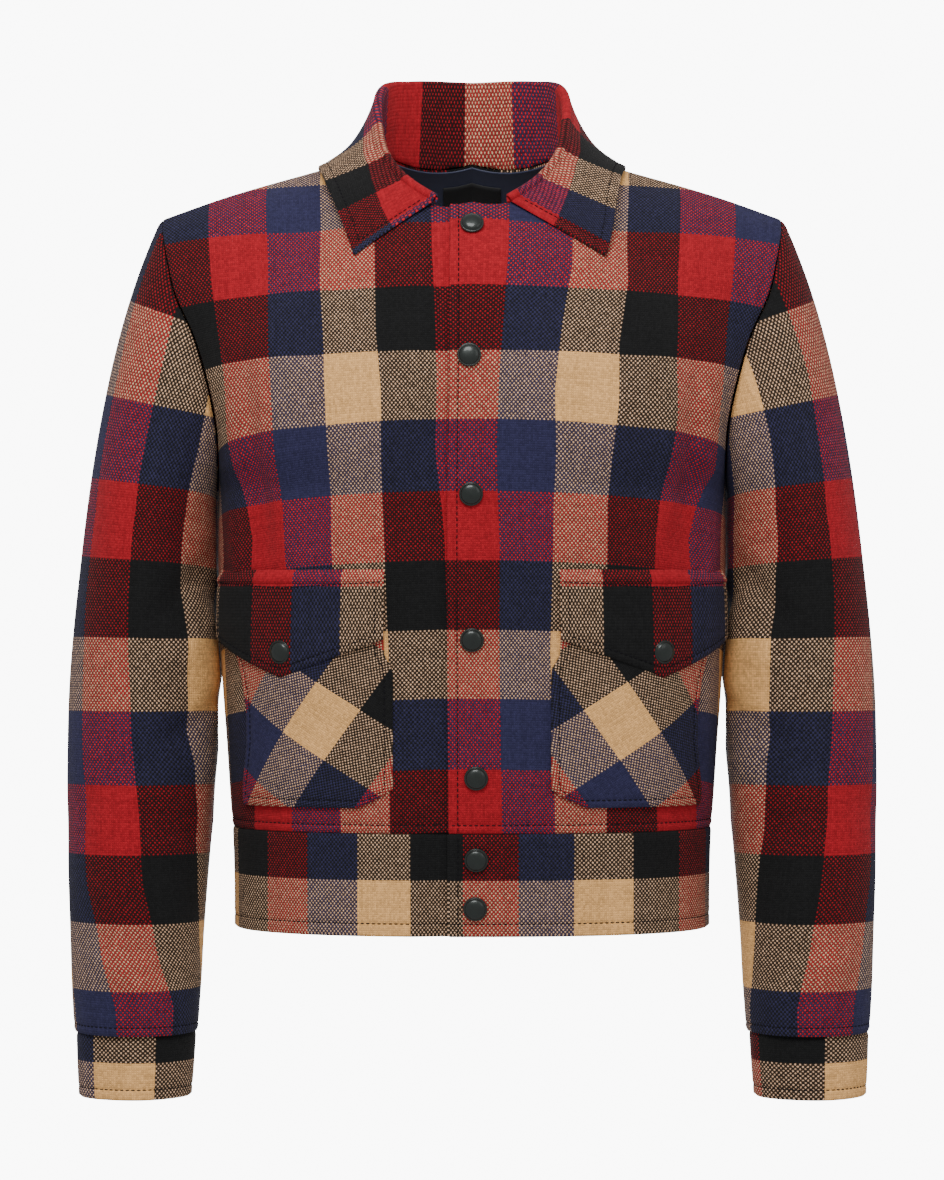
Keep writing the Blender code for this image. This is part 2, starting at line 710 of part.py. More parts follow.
def make_pockets(cloth):
    """The two patch pockets."""
    for name, side in (("pocket_left", 1), ("pocket_right", -1)):
        add_sheet(name, pocket_grid(WALL, side), pocket_grid(0.0, side), cloth, flip=side < 0)


def flap_grid(layer, side):
    """Points of a flap, whose lower edge comes to a point; layer 0 is under, 1 on top."""
    across = np.linspace(0, 1, 11)
    arc = side * (FLAP_INNER + FLAP_WIDTH * across)
    drop = FLAP_SIDE_DROP + (FLAP_POINT_DROP - FLAP_SIDE_DROP) * (1 - np.abs(2 * across - 1))
    rows = []
    for share in (1.0, 0.75, 0.5, 0.25, 0.0):
        z = FLAP_TOP - FLAP_STRIP - share * (drop - FLAP_STRIP)
        rows.append(on_front(arc, z, FLAP_LIFT + layer * WALL))
    rows.append(on_front(arc, np.full(11, FLAP_TOP), SLACK + layer * WALL))
    return np.array(rows)


def make_flaps(cloth):
    """The two pointed flaps above the pockets."""
    for name, side in (("flap_left", 1), ("flap_right", -1)):
        add_sheet(name, flap_grid(1, side), flap_grid(0, side), cloth, flip=side < 0)


def add_snap(name, place, normal, material):
    """A domed snap cap standing on its base at a place."""
    normal = unit(normal)
    aside = unit(np.cross(np.array([0.0, 0.0, 1.0]), normal))
    above = np.cross(normal, aside)
    points = []
    for share, height in SNAP_PROFILE:
        for step in range(SNAP_SIDES):
            angle = 2 * math.pi * step / SNAP_SIDES
            spoke = aside * math.cos(angle) + above * math.sin(angle)
            points.append(place + spoke * share * SNAP_RADIUS + normal * height)
    faces = [tuple(reversed(range(SNAP_SIDES)))]
    for ring in range(len(SNAP_PROFILE) - 1):
        for step in range(SNAP_SIDES):
            a = ring * SNAP_SIDES + step
            b = ring * SNAP_SIDES + (step + 1) % SNAP_SIDES
            faces.append((a, b, b + SNAP_SIDES, a + SNAP_SIDES))
    last = (len(SNAP_PROFILE) - 1) * SNAP_SIDES
    faces.append(tuple(range(last, last + SNAP_SIDES)))
    add_mesh(name, points, faces, material)


def make_snaps(material):
    """The seven front snaps and the two flap snaps."""
    for name, x, z in FRONT_SNAPS:
        if z > WAIST_SEAM:
            place, normal, _, _ = BODY.ray_cast(Vector((x, -0.4, z)), Vector((0, 1, 0)))
            place = np.array(place)
            normal = np.array(normal)
            normal[0] = 0.0
            normal = unit(normal)
        else:
            place = on_front(x, z, 0.0)
            normal = on_front(x, z, 1.0) - place
        add_snap(name, place + normal * 2 * SLACK, normal, material)
    for name, side in (("snap_flap_left", 1), ("snap_flap_right", -1)):
        arc = side * (FLAP_INNER + FLAP_WIDTH / 2)
        z = FLAP_TOP - FLAP_POINT_DROP + FLAP_SNAP_RISE
        place = on_front(arc, z, FLAP_LIFT + WALL + SLACK)
        add_snap(name, place, on_front(arc, z, 1.0) - place, material)


def main():
    """Clear the scene and build the jacket."""
    for old in list(bpy.data.objects):
        bpy.data.objects.remove(old, do_unlink=True)
    cloth = make_material("wool_cloth", (0.30, 0.03, 0.03), 0.95)
    bias_cloth = make_material("wool_cloth_bias", (0.42, 0.32, 0.20), 0.95)
    lining = make_material("lining", (0.02, 0.025, 0.06), 0.8)
    label = make_material("label", (0.01, 0.01, 0.01), 0.7)
    snap = make_material("snap", (0.02, 0.03, 0.025), 0.45)
    make_fronts(cloth)
    make_back(cloth)
    make_sleeves(cloth)
    make_cuffs(cloth)
    make_waistband(cloth)
    make_collar(cloth)
    make_lining(lining)
    make_label(label)
    make_pockets(bias_cloth)
    make_flaps(cloth)
    make_snaps(snap)


main()
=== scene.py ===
"""A checked wool shirt jacket, filled out as if worn, dressed over its parts.

Metres, +Z up, the front faces -Y and the wearer's left is +X.
"""

import math

import bmesh
import bpy
import numpy as np
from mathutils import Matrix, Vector
from mathutils.bvhtree import BVHTree


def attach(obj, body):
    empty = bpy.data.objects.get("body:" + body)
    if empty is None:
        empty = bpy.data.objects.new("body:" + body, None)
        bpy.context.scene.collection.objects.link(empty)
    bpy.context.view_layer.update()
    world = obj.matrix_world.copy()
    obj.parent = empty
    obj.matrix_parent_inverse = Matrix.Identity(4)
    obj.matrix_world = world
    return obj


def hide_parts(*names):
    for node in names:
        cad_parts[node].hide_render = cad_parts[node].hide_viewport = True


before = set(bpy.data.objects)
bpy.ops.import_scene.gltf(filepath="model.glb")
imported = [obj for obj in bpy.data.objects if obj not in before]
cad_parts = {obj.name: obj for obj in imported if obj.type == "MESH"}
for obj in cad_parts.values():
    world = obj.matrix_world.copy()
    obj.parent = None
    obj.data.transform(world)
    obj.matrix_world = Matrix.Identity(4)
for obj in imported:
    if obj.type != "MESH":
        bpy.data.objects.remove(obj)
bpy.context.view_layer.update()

# Cloth and seams
WALL = 0.0022             # one layer of the wool cloth
DOUBLE_WALL = 0.0034      # waistband and cuffs, two layers pressed flat
LINING_WALL = 0.0012
LABEL_WALL = 0.0008
GAP = 0.0003              # between two pieces at a seam
ARMHOLE_GAP = 0.0005
SLEEVE_CLEARANCE = 0.0015  # between the inside of a sleeve and the body
SLACK = 0.0004            # between a piece and the panel that it lies on

# Heights
ARMPIT = -0.250
WAIST_SEAM = -0.5032
HEM = -0.5772
BICEP = -0.297
CUFF_SEAM = -0.6560
CUFF_END = -0.7020

# Front opening: the left front laps over the right one by twice this share of a front
LAP = 0.067
LAP_SINK = 0.0032         # how far the underlap lies behind the overlap
BAND_SINK = 0.0042
LAP_END = 0.084           # the underlap is full behind from here to its edge
LAP_START = 0.190

# Neck hole seen from above: an ellipse
HOLE_HALF_WIDTH = 0.0735
HOLE_HALF_DEPTH = 0.0745
HOLE_MIDDLE = -0.0125
NECK_PART = 0.309         # share of the shoulder line that the neck hole takes

# Body rings. Columns: height, half width, depth in front, depth behind
BODY_RINGS = (
    (-0.578, 0.1800, 0.1140, 0.1080),
    (-0.540, 0.1802, 0.1150, 0.1085),
    (-0.503, 0.1815, 0.1180, 0.1110),
    (-0.480, 0.1832, 0.1210, 0.1130),
    (-0.440, 0.1858, 0.1230, 0.1130),
    (-0.394, 0.1892, 0.1250, 0.1130),
    (-0.350, 0.1912, 0.1280, 0.1170),
    (-0.300, 0.1922, 0.1310, 0.1230),
    (-0.250, 0.1920, 0.1330, 0.1280),
)
RING_POWER = 2.4
RING_ASPECT = 0.67

# Middle of the front above the armpit. Columns: rise, y, z
FRONT_MIDDLE = (
    (0.000, -0.1330, -0.250),
    (0.157, -0.1345, -0.200),
    (0.313, -0.1315, -0.150),
    (0.458, -0.1225, -0.105),
    (0.592, -0.1070, -0.067),
    (0.705, -0.0870, -0.0385),
    (0.815, -0.0640, -0.0130),
    (0.918, -0.0420, 0.0070),
    (1.000, -0.0180, 0.0220),
)
# Middle of the back above the armpit. Columns: rise, y, z
BACK_MIDDLE = (
    (0.000, 0.1280, -0.250),
    (0.170, 0.1300, -0.190),
    (0.326, 0.1270, -0.135),
    (0.471, 0.1170, -0.085),
    (0.594, 0.1000, -0.043),
    (0.716, 0.0760, -0.008),
    (0.803, 0.0540, 0.0110),
    (0.903, 0.0200, 0.0250),
    (1.000, -0.0180, 0.0220),
)
# Front edge of the armhole. Columns: rise, x, y, z
FRONT_ARMHOLE = (
    (0.00, 0.1920, 0.0000, -0.2500),
    (0.15, 0.1900, -0.0380, -0.2330),
    (0.30, 0.1908, -0.0570, -0.2040),
    (0.45, 0.1970, -0.0630, -0.1720),
    (0.60, 0.2075, -0.0600, -0.1370),
    (0.75, 0.2235, -0.0500, -0.1010),
    (0.85, 0.2300, -0.0385, -0.0750),
    (0.93, 0.2338, -0.0260, -0.0570),
    (1.00, 0.2350, -0.0120, -0.0450),
)
# Back edge of the armhole. Columns: rise, x, y, z
BACK_ARMHOLE = (
    (0.00, 0.1920, 0.0000, -0.2500),
    (0.15, 0.1900, 0.0380, -0.2350),
    (0.30, 0.1910, 0.0590, -0.2060),
    (0.45, 0.1965, 0.0660, -0.1720),
    (0.60, 0.2060, 0.0640, -0.1360),
    (0.75, 0.2200, 0.0560, -0.0980),
    (0.85, 0.2285, 0.0430, -0.0690),
    (0.93, 0.2340, 0.0230, -0.0485),
    (1.00, 0.2350, -0.0120, -0.0450),
)
# Shoulder seam, carried on across the neck hole. Columns: part, x, y, z
SHOULDER_LINE = (
    (0.000, 0.0000, -0.0180, 0.0220),
    (0.309, 0.0735, -0.0180, 0.0035),
    (0.500, 0.1185, -0.0175, -0.0090),
    (0.800, 0.1885, -0.0155, -0.0290),
    (1.000, 0.2350, -0.0120, -0.0450),
)

# Sleeve rings. Columns: depth under the origin, inner x, outer x, middle y, half depth
SLEEVE_RINGS = (
    (0.297, 0.1945, 0.2962, 0.0020, 0.0760),
    (0.350, 0.1935, 0.3020, 0.0020, 0.0750),
    (0.394, 0.1920, 0.3055, 0.0010, 0.0730),
    (0.454, 0.1968, 0.3068, -0.0030, 0.0690),
    (0.524, 0.2006, 0.3060, -0.0110, 0.0630),
    (0.577, 0.2022, 0.3032, -0.0190, 0.0575),
    (0.629, 0.2042, 0.3008, -0.0260, 0.0515),
    (0.656, 0.2060, 0.2988, -0.0300, 0.0470),
)
# Cuff rings. Columns: depth under the origin, inner x, outer x, middle y, half depth
CUFF_RINGS = (
    (0.6563, 0.2078, 0.2975, -0.0300, 0.0430),
    (0.6800, 0.2092, 0.2966, -0.0320, 0.0405),
    (0.7020, 0.2108, 0.2954, -0.0340, 0.0390),
)
# Direction in which the sleeve leaves the armhole. Columns: turn, x, y, z
SLEEVE_START = (
    (0.00, 0.42, 0.00, -0.90),
    (0.25, 0.45, -0.30, -0.84),
    (0.50, 0.10, 0.00, -1.00),
    (0.75, 0.45, 0.30, -0.84),
    (1.00, 0.42, 0.00, -0.90),
)
# Broad soft folds of the sleeves. Columns: turn, depth under the origin, slope of the fold
# (depth for one turn), half length in turns, half width, height (a trough is negative)
SLEEVE_FOLDS = (
    (0.42, 0.320, 0.30, 0.14, 0.022, -0.0060),
    (0.36, 0.372, 0.25, 0.12, 0.020, 0.0030),
    (0.20, 0.470, -0.18, 0.16, 0.022, -0.0030),
    (0.62, 0.420, 0.10, 0.16, 0.020, -0.0050),
    (0.70, 0.462, 0.12, 0.14, 0.020, 0.0030),
    (0.30, 0.600, 0.16, 0.14, 0.018, -0.0030),
    (0.80, 0.560, -0.14, 0.15, 0.020, -0.0030),
)

# Collar. Columns: way from the middle of the back, roll x, y and z, edge x, y and z,
# radius of the roll, hollow of the fall
COLLAR_ROWS = (
    (0.00, 0.0000, 0.0690, 0.0690, 0.0000, 0.1040, -0.0020, 0.0034, 0.008),
    (0.25, 0.0450, 0.0570, 0.0685, 0.0640, 0.0900, -0.0050, 0.0033, 0.008),
    (0.42, 0.0655, 0.0310, 0.0615, 0.1080, 0.0520, -0.0060, 0.0031, 0.010),
    (0.52, 0.0690, 0.0080, 0.0470, 0.1150, 0.0220, -0.0060, 0.0029, 0.012),
    (0.62, 0.0680, -0.0180, 0.0270, 0.1155, -0.0120, -0.0050, 0.0028, 0.010),
    (0.72, 0.0635, -0.0430, 0.0060, 0.1110, -0.0450, -0.0150, 0.0027, 0.006),
    (0.81, 0.0545, -0.0605, -0.0095, 0.1050, -0.0700, -0.0330, 0.0026, 0.003),
    (0.91, 0.0415, -0.0750, -0.0225, 0.0985, -0.0880, -0.0560, 0.0025, 0.001),
    (1.00, 0.0262, -0.0834, -0.0325, 0.0920, -0.1000, -0.0790, 0.0026, 0.000),
)
COLLAR_HALF = 0.25        # length that one unit of the way stands for
ROLL_TOP = 22             # point of a collar section at the top of its roll
ROLL_END = 27             # point at which the roll ends and the fall begins
COLLAR_LEAN = 0.006       # the two points of the collar lie this much further to +X

# Flat pieces on the front, by arc from the middle of the front and height.
FLAP_INNER = 0.0645
FLAP_WIDTH = 0.155
FLAP_TOP = -0.3105
FLAP_SIDE_DROP = 0.050
FLAP_POINT_DROP = 0.078
FLAP_STRIP = 0.009        # stitched strip along the top of a flap
POCKET_SLACK = 0.0009     # between a pocket and the front
POCKET_WIDTH = 0.13
POCKET_NARROWED = 0.0055  # how far the inner edge goes back under the flap
FLAP_MEAN_DROP = 0.064
FLAP_LIFT = POCKET_SLACK + WALL + 0.0005
# Patch pocket edges. Columns: height, arc of the inner edge, arc of the outer edge
POCKET_ROWS = (
    (-0.4840, 0.0840, 0.1860),
    (-0.4780, 0.0705, 0.1870),
    (-0.4706, 0.0580, 0.1870),
    (-0.4560, 0.0580, 0.1835),
    (-0.4380, 0.0580, 0.1800),
    (-0.4120, 0.0580, 0.1795),
    (-0.3900, 0.0580, 0.1840),
    (-0.3700, 0.0590, 0.1920),
    (-0.3480, 0.0600, 0.2000),
    (-0.3240, 0.0610, 0.2060),
)

SNAP_RADIUS = 0.00875

# Lengths that one unit of a panel's part and level stand for
PANEL_WIDTH = 0.26
PANEL_HEIGHT = 0.25

# Places along the shoulder line at which the neck seam is measured
NECK_PARTS = (0.109, 0.190, 0.253, 0.294, NECK_PART)


def smooth(rows, at):
    """Values of a table at given places, on one smooth curve through its rows.

    The first column of the table is the place, in rising order.
    """
    table = np.array(rows, dtype=float)
    places = table[:, 0]
    values = table[:, 1:]
    slopes = np.gradient(values, places, axis=0)
    at = np.clip(np.asarray(at, dtype=float), places[0], places[-1])
    low = np.clip(np.searchsorted(places, at) - 1, 0, len(places) - 2)
    step = (places[low + 1] - places[low])[..., None]
    part = (at - places[low])[..., None] / step
    value = (1 + 2 * part) * (1 - part) ** 2 * values[low]
    value = value + part * (1 - part) ** 2 * step * slopes[low]
    value = value + part ** 2 * (3 - 2 * part) * values[low + 1]
    return value + part ** 2 * (part - 1) * step * slopes[low + 1]


def unit(vectors):
    """Vectors of length one."""
    return vectors / np.maximum(np.linalg.norm(vectors, axis=-1, keepdims=True), 1e-9)


def ease(low, high, value):
    """0 under low, 1 over high, and a soft step between them."""
    part = np.clip((value - low) / (high - low), 0.0, 1.0)
    return part * part * (3 - 2 * part)


def nearest(values, at):
    """Index of the value closest to another."""
    return int(np.argmin(np.abs(np.asarray(values) - at)))


def way_along(points, axis=0):
    """Length from the start of each line of points along one axis of a grid."""
    steps = np.linalg.norm(np.diff(points, axis=axis), axis=-1)
    start = np.zeros_like(np.take(steps, [0], axis=axis))
    return np.concatenate([start, np.cumsum(steps, axis=axis)], axis=axis)


def mirror(side):
    """Factors that carry a point from the +X side over to the side of a signed number."""
    return np.array([-1.0 if side < 0 else 1.0, 1, 1])


def quarter_ring():
    """Share of the length, and the across and along factors, of a quarter ring."""
    angle = np.linspace(0.0, math.pi / 2, 721)
    across = np.sin(angle) ** (2 / RING_POWER)
    along = np.cos(angle) ** (2 / RING_POWER)
    steps = np.hypot(np.diff(across), RING_ASPECT * np.diff(along))
    length = np.concatenate([[0.0], np.cumsum(steps)])
    return length / length[-1], across, along


RING_SHARE, RING_ACROSS, RING_ALONG = quarter_ring()


def body_ring(share, z):
    """Outer point of the body under the armpits.

    Share 0 is the middle of the front, 1 the +X side seam and 2 the middle of the back.
    """
    width, front, back = np.moveaxis(smooth(BODY_RINGS, z), -1, 0)
    away = np.abs(share)
    part = np.where(away <= 1, away, 2 - away)
    along = np.interp(part, RING_SHARE, RING_ALONG)
    x = np.sign(share) * width * np.interp(part, RING_SHARE, RING_ACROSS)
    y = np.where(away <= 1, -front * along, back * along)
    return np.stack(np.broadcast_arrays(x, y, z), axis=-1)


def upper_patch(part, rise, behind):
    """Outer point above the armpits, on a patch blended between its four edges.

    Part 0 is the middle and 1 the armhole; rise 0 is the armpit and 1 the shoulder seam.
    """
    part, rise = np.broadcast_arrays(np.asarray(part, float), np.asarray(rise, float))
    across = np.abs(part)
    armpit = np.full_like(across, ARMPIT)
    foot = body_ring(2 - across if behind else across, armpit)
    head = smooth(SHOULDER_LINE, across)
    spine = smooth(BACK_MIDDLE if behind else FRONT_MIDDLE, rise)
    spine = np.concatenate([np.zeros_like(spine[..., :1]), spine], axis=-1)
    rim = smooth(BACK_ARMHOLE if behind else FRONT_ARMHOLE, rise)
    side = body_ring(np.ones_like(across), armpit)
    middle = body_ring(np.full_like(across, 2.0 if behind else 0.0), armpit)
    tip = smooth(SHOULDER_LINE, np.ones_like(across))
    peak = smooth(SHOULDER_LINE, np.zeros_like(across))
    a = across[..., None]
    r = rise[..., None]
    corners = (1 - a) * (1 - r) * middle + (1 - a) * r * peak + a * (1 - r) * side + a * r * tip
    point = (1 - r) * foot + r * head + (1 - a) * spine + a * rim - corners
    point[..., 0] *= np.where(part < 0, -1.0, 1.0)
    return point


def in_hole(point):
    """Under 0 inside the neck hole seen from above, over 0 outside it."""
    across = point[..., 0] / HOLE_HALF_WIDTH
    along = (point[..., 1] - HOLE_MIDDLE) / HOLE_HALF_DEPTH
    return across ** 2 + along ** 2 - 1


def neck_rise(part, behind):
    """Rise at which a column of the upper patch meets the neck hole, at most 1."""
    low = np.full(np.shape(part), 0.4)
    high = np.ones(np.shape(part))
    for _ in range(26):
        middle = (low + high) / 2
        outside = in_hole(upper_patch(part, middle, behind)) > 0
        low = np.where(outside, middle, low)
        high = np.where(outside, high, middle)
    return np.where(np.abs(part) >= NECK_PART, 1.0, (low + high) / 2)


def body_point(part, level, behind, cut=True):
    """Outer point of the body; level 0 is the waist seam, 1 the armpit and 2 the top edge.

    Part runs from -1 to 1 between the sides, 0 in the middle.
    """
    part, level = np.broadcast_arrays(np.asarray(part, float), np.asarray(level, float))
    z = WAIST_SEAM + (ARMPIT - WAIST_SEAM) * np.clip(level, 0, 1)
    share = np.where(part < 0, -1.0, 1.0) * (2 - np.abs(part)) if behind else part
    lower = body_ring(share, z)
    top = neck_rise(part, behind) if cut else 1.0
    upper = upper_patch(part, np.clip(level - 1, 0, 1) * top, behind)
    return np.where((level > 1)[..., None], upper, lower)


def grid_normals(grid, ring=False):
    """Unit normals of a grid of points, across its columns and along its rows."""
    along = np.gradient(grid, axis=0)
    if ring:
        across = np.roll(grid, -1, axis=1) - np.roll(grid, 1, axis=1)
    else:
        across = np.gradient(grid, axis=1)
    return unit(np.cross(across, along))


def body_surface():
    """Tree of the whole outer surface of the body, with the neck hole closed over."""
    steps = 60
    points = []
    faces = []
    part = np.linspace(-1, 1, steps + 1)
    level = np.linspace(0, 2, steps + 1)
    for behind in (False, True):
        grid = body_point(part[None, :] * (-1 if behind else 1), level[:, None], behind, False)
        start = len(points)
        points.extend(Vector(p) for p in grid.reshape(-1, 3))
        for row in range(steps):
            for column in range(steps):
                a = start + row * (steps + 1) + column
                b = a + steps + 1
                faces.append((a, a + 1, b + 1, b))
    return BVHTree.FromPolygons(points, faces)


BODY = body_surface()


def push_off(grid, clearance, beside=True):
    """Points moved out so that each is at least this far off the body's surface.

    Without beside, points that lie past the surface's edge stay as they are.
    """
    moved = grid.copy()
    for index in np.ndindex(grid.shape[:-1]):
        point = Vector(grid[index])
        place, normal, _, _ = BODY.find_nearest(point)
        away = (point - place).dot(normal)
        past_edge = (point - place - normal * away).length > 0.0005
        if away < clearance and (beside or not past_edge):
            moved[index] = point + normal * (clearance - away)
    return moved


def ring_part(arc, z):
    """Part of a front at an arc length from its middle, at each height."""
    width, front, _ = np.moveaxis(smooth(BODY_RINGS, z), -1, 0)
    across = np.diff(RING_ACROSS) * width[..., None]
    steps = np.hypot(across, np.diff(RING_ALONG) * front[..., None])
    return arc / steps.sum(axis=-1)


def on_front(arc, z, lift):
    """Point on the front under the armpits, lifted off it; arc is signed, + to +X."""
    arc, z, lift = np.broadcast_arrays(*(np.asarray(v, float) for v in (arc, z, lift)))
    nudge = 0.0005
    part = ring_part(arc, z)
    point = body_ring(part, z)
    aside = body_ring(part + nudge, z) - body_ring(part - nudge, z)
    above = body_ring(part, z + nudge) - body_ring(part, z - nudge)
    return point + unit(np.cross(aside, above)) * lift[..., None]


def sleeve_ring(turn, depth, rings):
    """Outer point of a sleeve or cuff ring; turn 0 is outside, 0.25 front, 0.5 inside."""
    inner, outer, middle, half_depth = np.moveaxis(smooth(rings, depth), -1, 0)
    angle = 2 * math.pi * turn
    x = (inner + outer) / 2 + (outer - inner) / 2 * np.cos(angle)
    y = middle - half_depth * np.sin(angle)
    return np.stack(np.broadcast_arrays(x, y, -depth), axis=-1)


def armhole(turn):
    """Point of the armhole seam; turn 0 is the shoulder and 0.5 the armpit."""
    front = smooth(FRONT_ARMHOLE, np.abs(1 - 2 * turn))
    back = smooth(BACK_ARMHOLE, np.abs(2 * turn - 1))
    return np.where((turn <= 0.5)[..., None], front, back)


def fold_height(turn, depth, folds):
    """Height of a table of soft folds at a place on a tube."""
    total = np.zeros(np.broadcast(turn, depth).shape)
    for at_turn, at_depth, slope, half_length, half_width, height in folds:
        away = (turn - at_turn + 0.5) % 1.0 - 0.5
        off = depth - at_depth - slope * away
        total += height * np.exp(-(away / half_length) ** 2 - (off / half_width) ** 2)
    return total


def neck_line():
    """Share of the length, and points, of the neck seam from the back to the collar's end."""
    parts = np.array(NECK_PARTS)
    behind = body_point(np.concatenate([[0.0], parts]), np.full(len(parts) + 1, 2.0), True)
    front = body_point(parts[-2::-1], np.full(len(parts) - 1, 2.0), False)
    points = np.concatenate([behind, front])
    length = way_along(points)
    return length / length[-1], points


NECK_SHARE, NECK_POINTS = neck_line()


def neck_seam(way):
    """Point of the neck seam; way 0 is the middle of the back and 1 the collar's end."""
    point = [np.interp(abs(way), NECK_SHARE, NECK_POINTS[:, axis]) for axis in range(3)]
    return np.array(point) * mirror(way)


def collar_roll(way):
    """Point of the line along which the collar rolls over."""
    near = np.clip(abs(way), 0.0, 0.999)
    return smooth(COLLAR_ROWS, near)[0:3] * mirror(way)


# Stage: radiance of the surroundings and of the panel behind, places, and light power
BACKGROUND = 0.8
BACKDROP = 9.5
BACKDROP_AWAY = 6.0
BACKDROP_HALVES = (1.5, 1.9)  # half width and half height
FLOOR = -2.3
FLOOR_HALF = 40.0
KEY_POWER = 41.0
FILL_POWER = 8.0
CAMERA_AWAY = 2.9
CAMERA_HEIGHT = -0.325
SENSOR = 24.0
PICTURE_HEIGHT = 1180         # pixels
PIXEL = 0.00076               # metres that one pixel takes at the camera's distance

# Grid pitch of the dressed cloth, and extra places near an edge
PITCH = 0.0036
FINE_PITCH = 0.0034       # on pockets and flaps
EDGE_STEPS = (0.0, 0.0008, 0.0018, 0.0030)
SEAM_COLUMN = 40          # column of a panel's grid at which its stitched row is found

# Stitched lines, by their distance from a seam or an edge
SEAM_STITCH = 0.0062
EDGE_STITCH = 0.0066      # along the front edge and the collar
BAND_STITCH = 0.0080      # along the hem
PATCH_STITCH = 0.0055     # along pockets and flaps
STITCH = 0.0029
STITCH_STEP = 0.0042
THREAD = 0.00036
STITCH_SIDES = 6
# Thickness along a stitch. Columns: share of its length, share of the full thickness
STITCH_PROFILE = ((0.0, 0.35), (0.12, 0.9), (0.5, 1.0), (0.88, 0.9), (1.0, 0.35))

# Grooves and rolled edges of the cloth. Columns: depth, half width
GROOVE = (0.0007, 0.0012)
EDGE_GROOVE = (0.0006, 0.0012)
FINE_GROOVE = (0.0005, 0.0012)
STRIP_GROOVE = (0.0012, 0.0016)
SEAM_ROLL = (0.0009, 0.0016)
SIDE_ROLL = (0.0010, 0.0018)
ARMHOLE_ROLL = (0.0014, 0.0022)
POCKET_ROLL = (0.0008, 0.0015)
FLAP_ROLL = (0.0008, 0.0014)

# Columns of points round a sleeve, from the underarm on and back to it, and the turns of
# their edges, signed to both sides of the outside
TURNS = 120
TURN = 0.5 + np.arange(TURNS) / TURNS
SIGNED_TURN = np.append(TURN - 1, 0.5)
CAP_ROWS = 46             # rows over the sleeve's head
CAP_EDGE_SHARES = (0, 0.008, 0.018, 0.03)
SLEEVE_SWELL = 0.0042     # how far the sleeve fills out towards the body

# Check: cycle of the warp columns and of the weft rows, in yarn colours
ENDS = 28                 # warp threads in one column
PICKS = 30                # weft threads in one row
YARNS = {
    "red": (0.290, 0.0090, 0.0150),
    "navy": (0.0225, 0.0215, 0.0580),
    "tan": (0.660, 0.355, 0.128),
    "black": (0.0078, 0.0078, 0.0080),
}
DOT_SHADE = (0.60, 0.70, 1.20, 1.0)          # painted shade on a tan thread's dots between dark ones: darker and less warm
WARP = ("red", "navy", "tan", "black")      # u 0-1, 1-2, 2-3, 3-4, towards +X
WEFT = ("navy", "red", "black", "tan")      # v 0-1, 1-2, 2-3, 3-4, downwards
YARN_WANDER = 0.9         # how far the edge of a yarn strays, in yarns
ROW_PITCH = 0.0505
COLUMN_PITCH = 0.044
BACK_COLUMN = 3.55        # u in the middle of the back
BACK_ROW = 4.94           # v of the back at the armpits
BACK_ROW_SHARE = 0.81     # pitch of the rows above the armpits on the back
HALF_STEPS = 80           # steps of the measured lengths over one half of a panel
LEAD_PART = 0.42          # the part of a front whose heights lead the rows further out
LEAD_SHARE = 0.70

# Column edges on the fronts. Columns: level, arcs in mm of the edges u -4 to 5
FRONT_COLUMNS = (
    (0.00, -176, -137, -97, -60, -17, 22, 61, 100, 142, 186),
    (0.53, -175, -140, -101, -61, -18, 20, 57, 99, 139, 176),
    (0.85, -175, -141, -104, -64, -20, 20, 59, 100, 138, 173),
    (0.94, -181, -142, -104, -65, -22, 19, 59, 100, 140, 181),
    (1.09, -196, -147, -106, -66, -27, 18, 61, 103, 148, 204),
    (1.25, -206, -151, -109, -67, -26, 20, 61, 109, 157, 208),
    (1.41, -203, -156, -112, -72, -28, 24, 67, 111, 158, 208),
    (1.59, -205, -158, -116, -74, -31, 28, 76, 119, 160, 205),
    (2.00, -206, -160, -118, -76, -34, 31, 79, 122, 162, 206),
)
# Row edges on the fronts, as lengths in mm over the armpit, for v 0 to 9
FRONT_ROWS = (258, 206.5, 149, 99.5, 49, -3, -53.5, -104, -154.5, -206)
SIDE_DROP = 0.009         # the rows hang lower at the sides, under the chest
BAND_ROW_EDGE = -0.5373   # height of the row edge v 11 on the waistband
CUFF_ROW_EDGE = -0.6760
# Column edges on the waistband's front, arcs in mm for u -4 to 5
BAND_COLUMNS = (-160, -123.5, -84, -44.5, -7.3, 33.6, 74.5, 121, 163, 204)
FLAP_COLUMNS = (-168, -133, -95.3, -61.5, -20, 20, 60, 95, 133, 167)
FLAP_ROW_EDGE = -0.3220
FLAP_ROW_PITCH = 0.068    # the black row is cut longer on a flap
# Corners of the tan patch on the -X pocket: top, right and left. Columns: arc, height
POCKET_PATCH = ((-0.1133, -0.3919), (-0.0809, -0.4123), (-0.1403, -0.4290))
# Rows of the sleeves: lengths in mm over the cuff seam, for v 13 down to 2
SLEEVE_ROWS = (-20, 33, 83, 134, 186, 241, 296, 354, 411, 471, 539, 612)
# Rows that fall towards the underarm. Columns: length over the cuff seam, fall a quarter turn
SLEEVE_SLANT = (
    (0.28, 0.0),
    (0.34, 0.004),
    (0.39, 0.008),
    (0.44, 0.011),
    (0.50, 0.016),
    (0.55, 0.021),
)
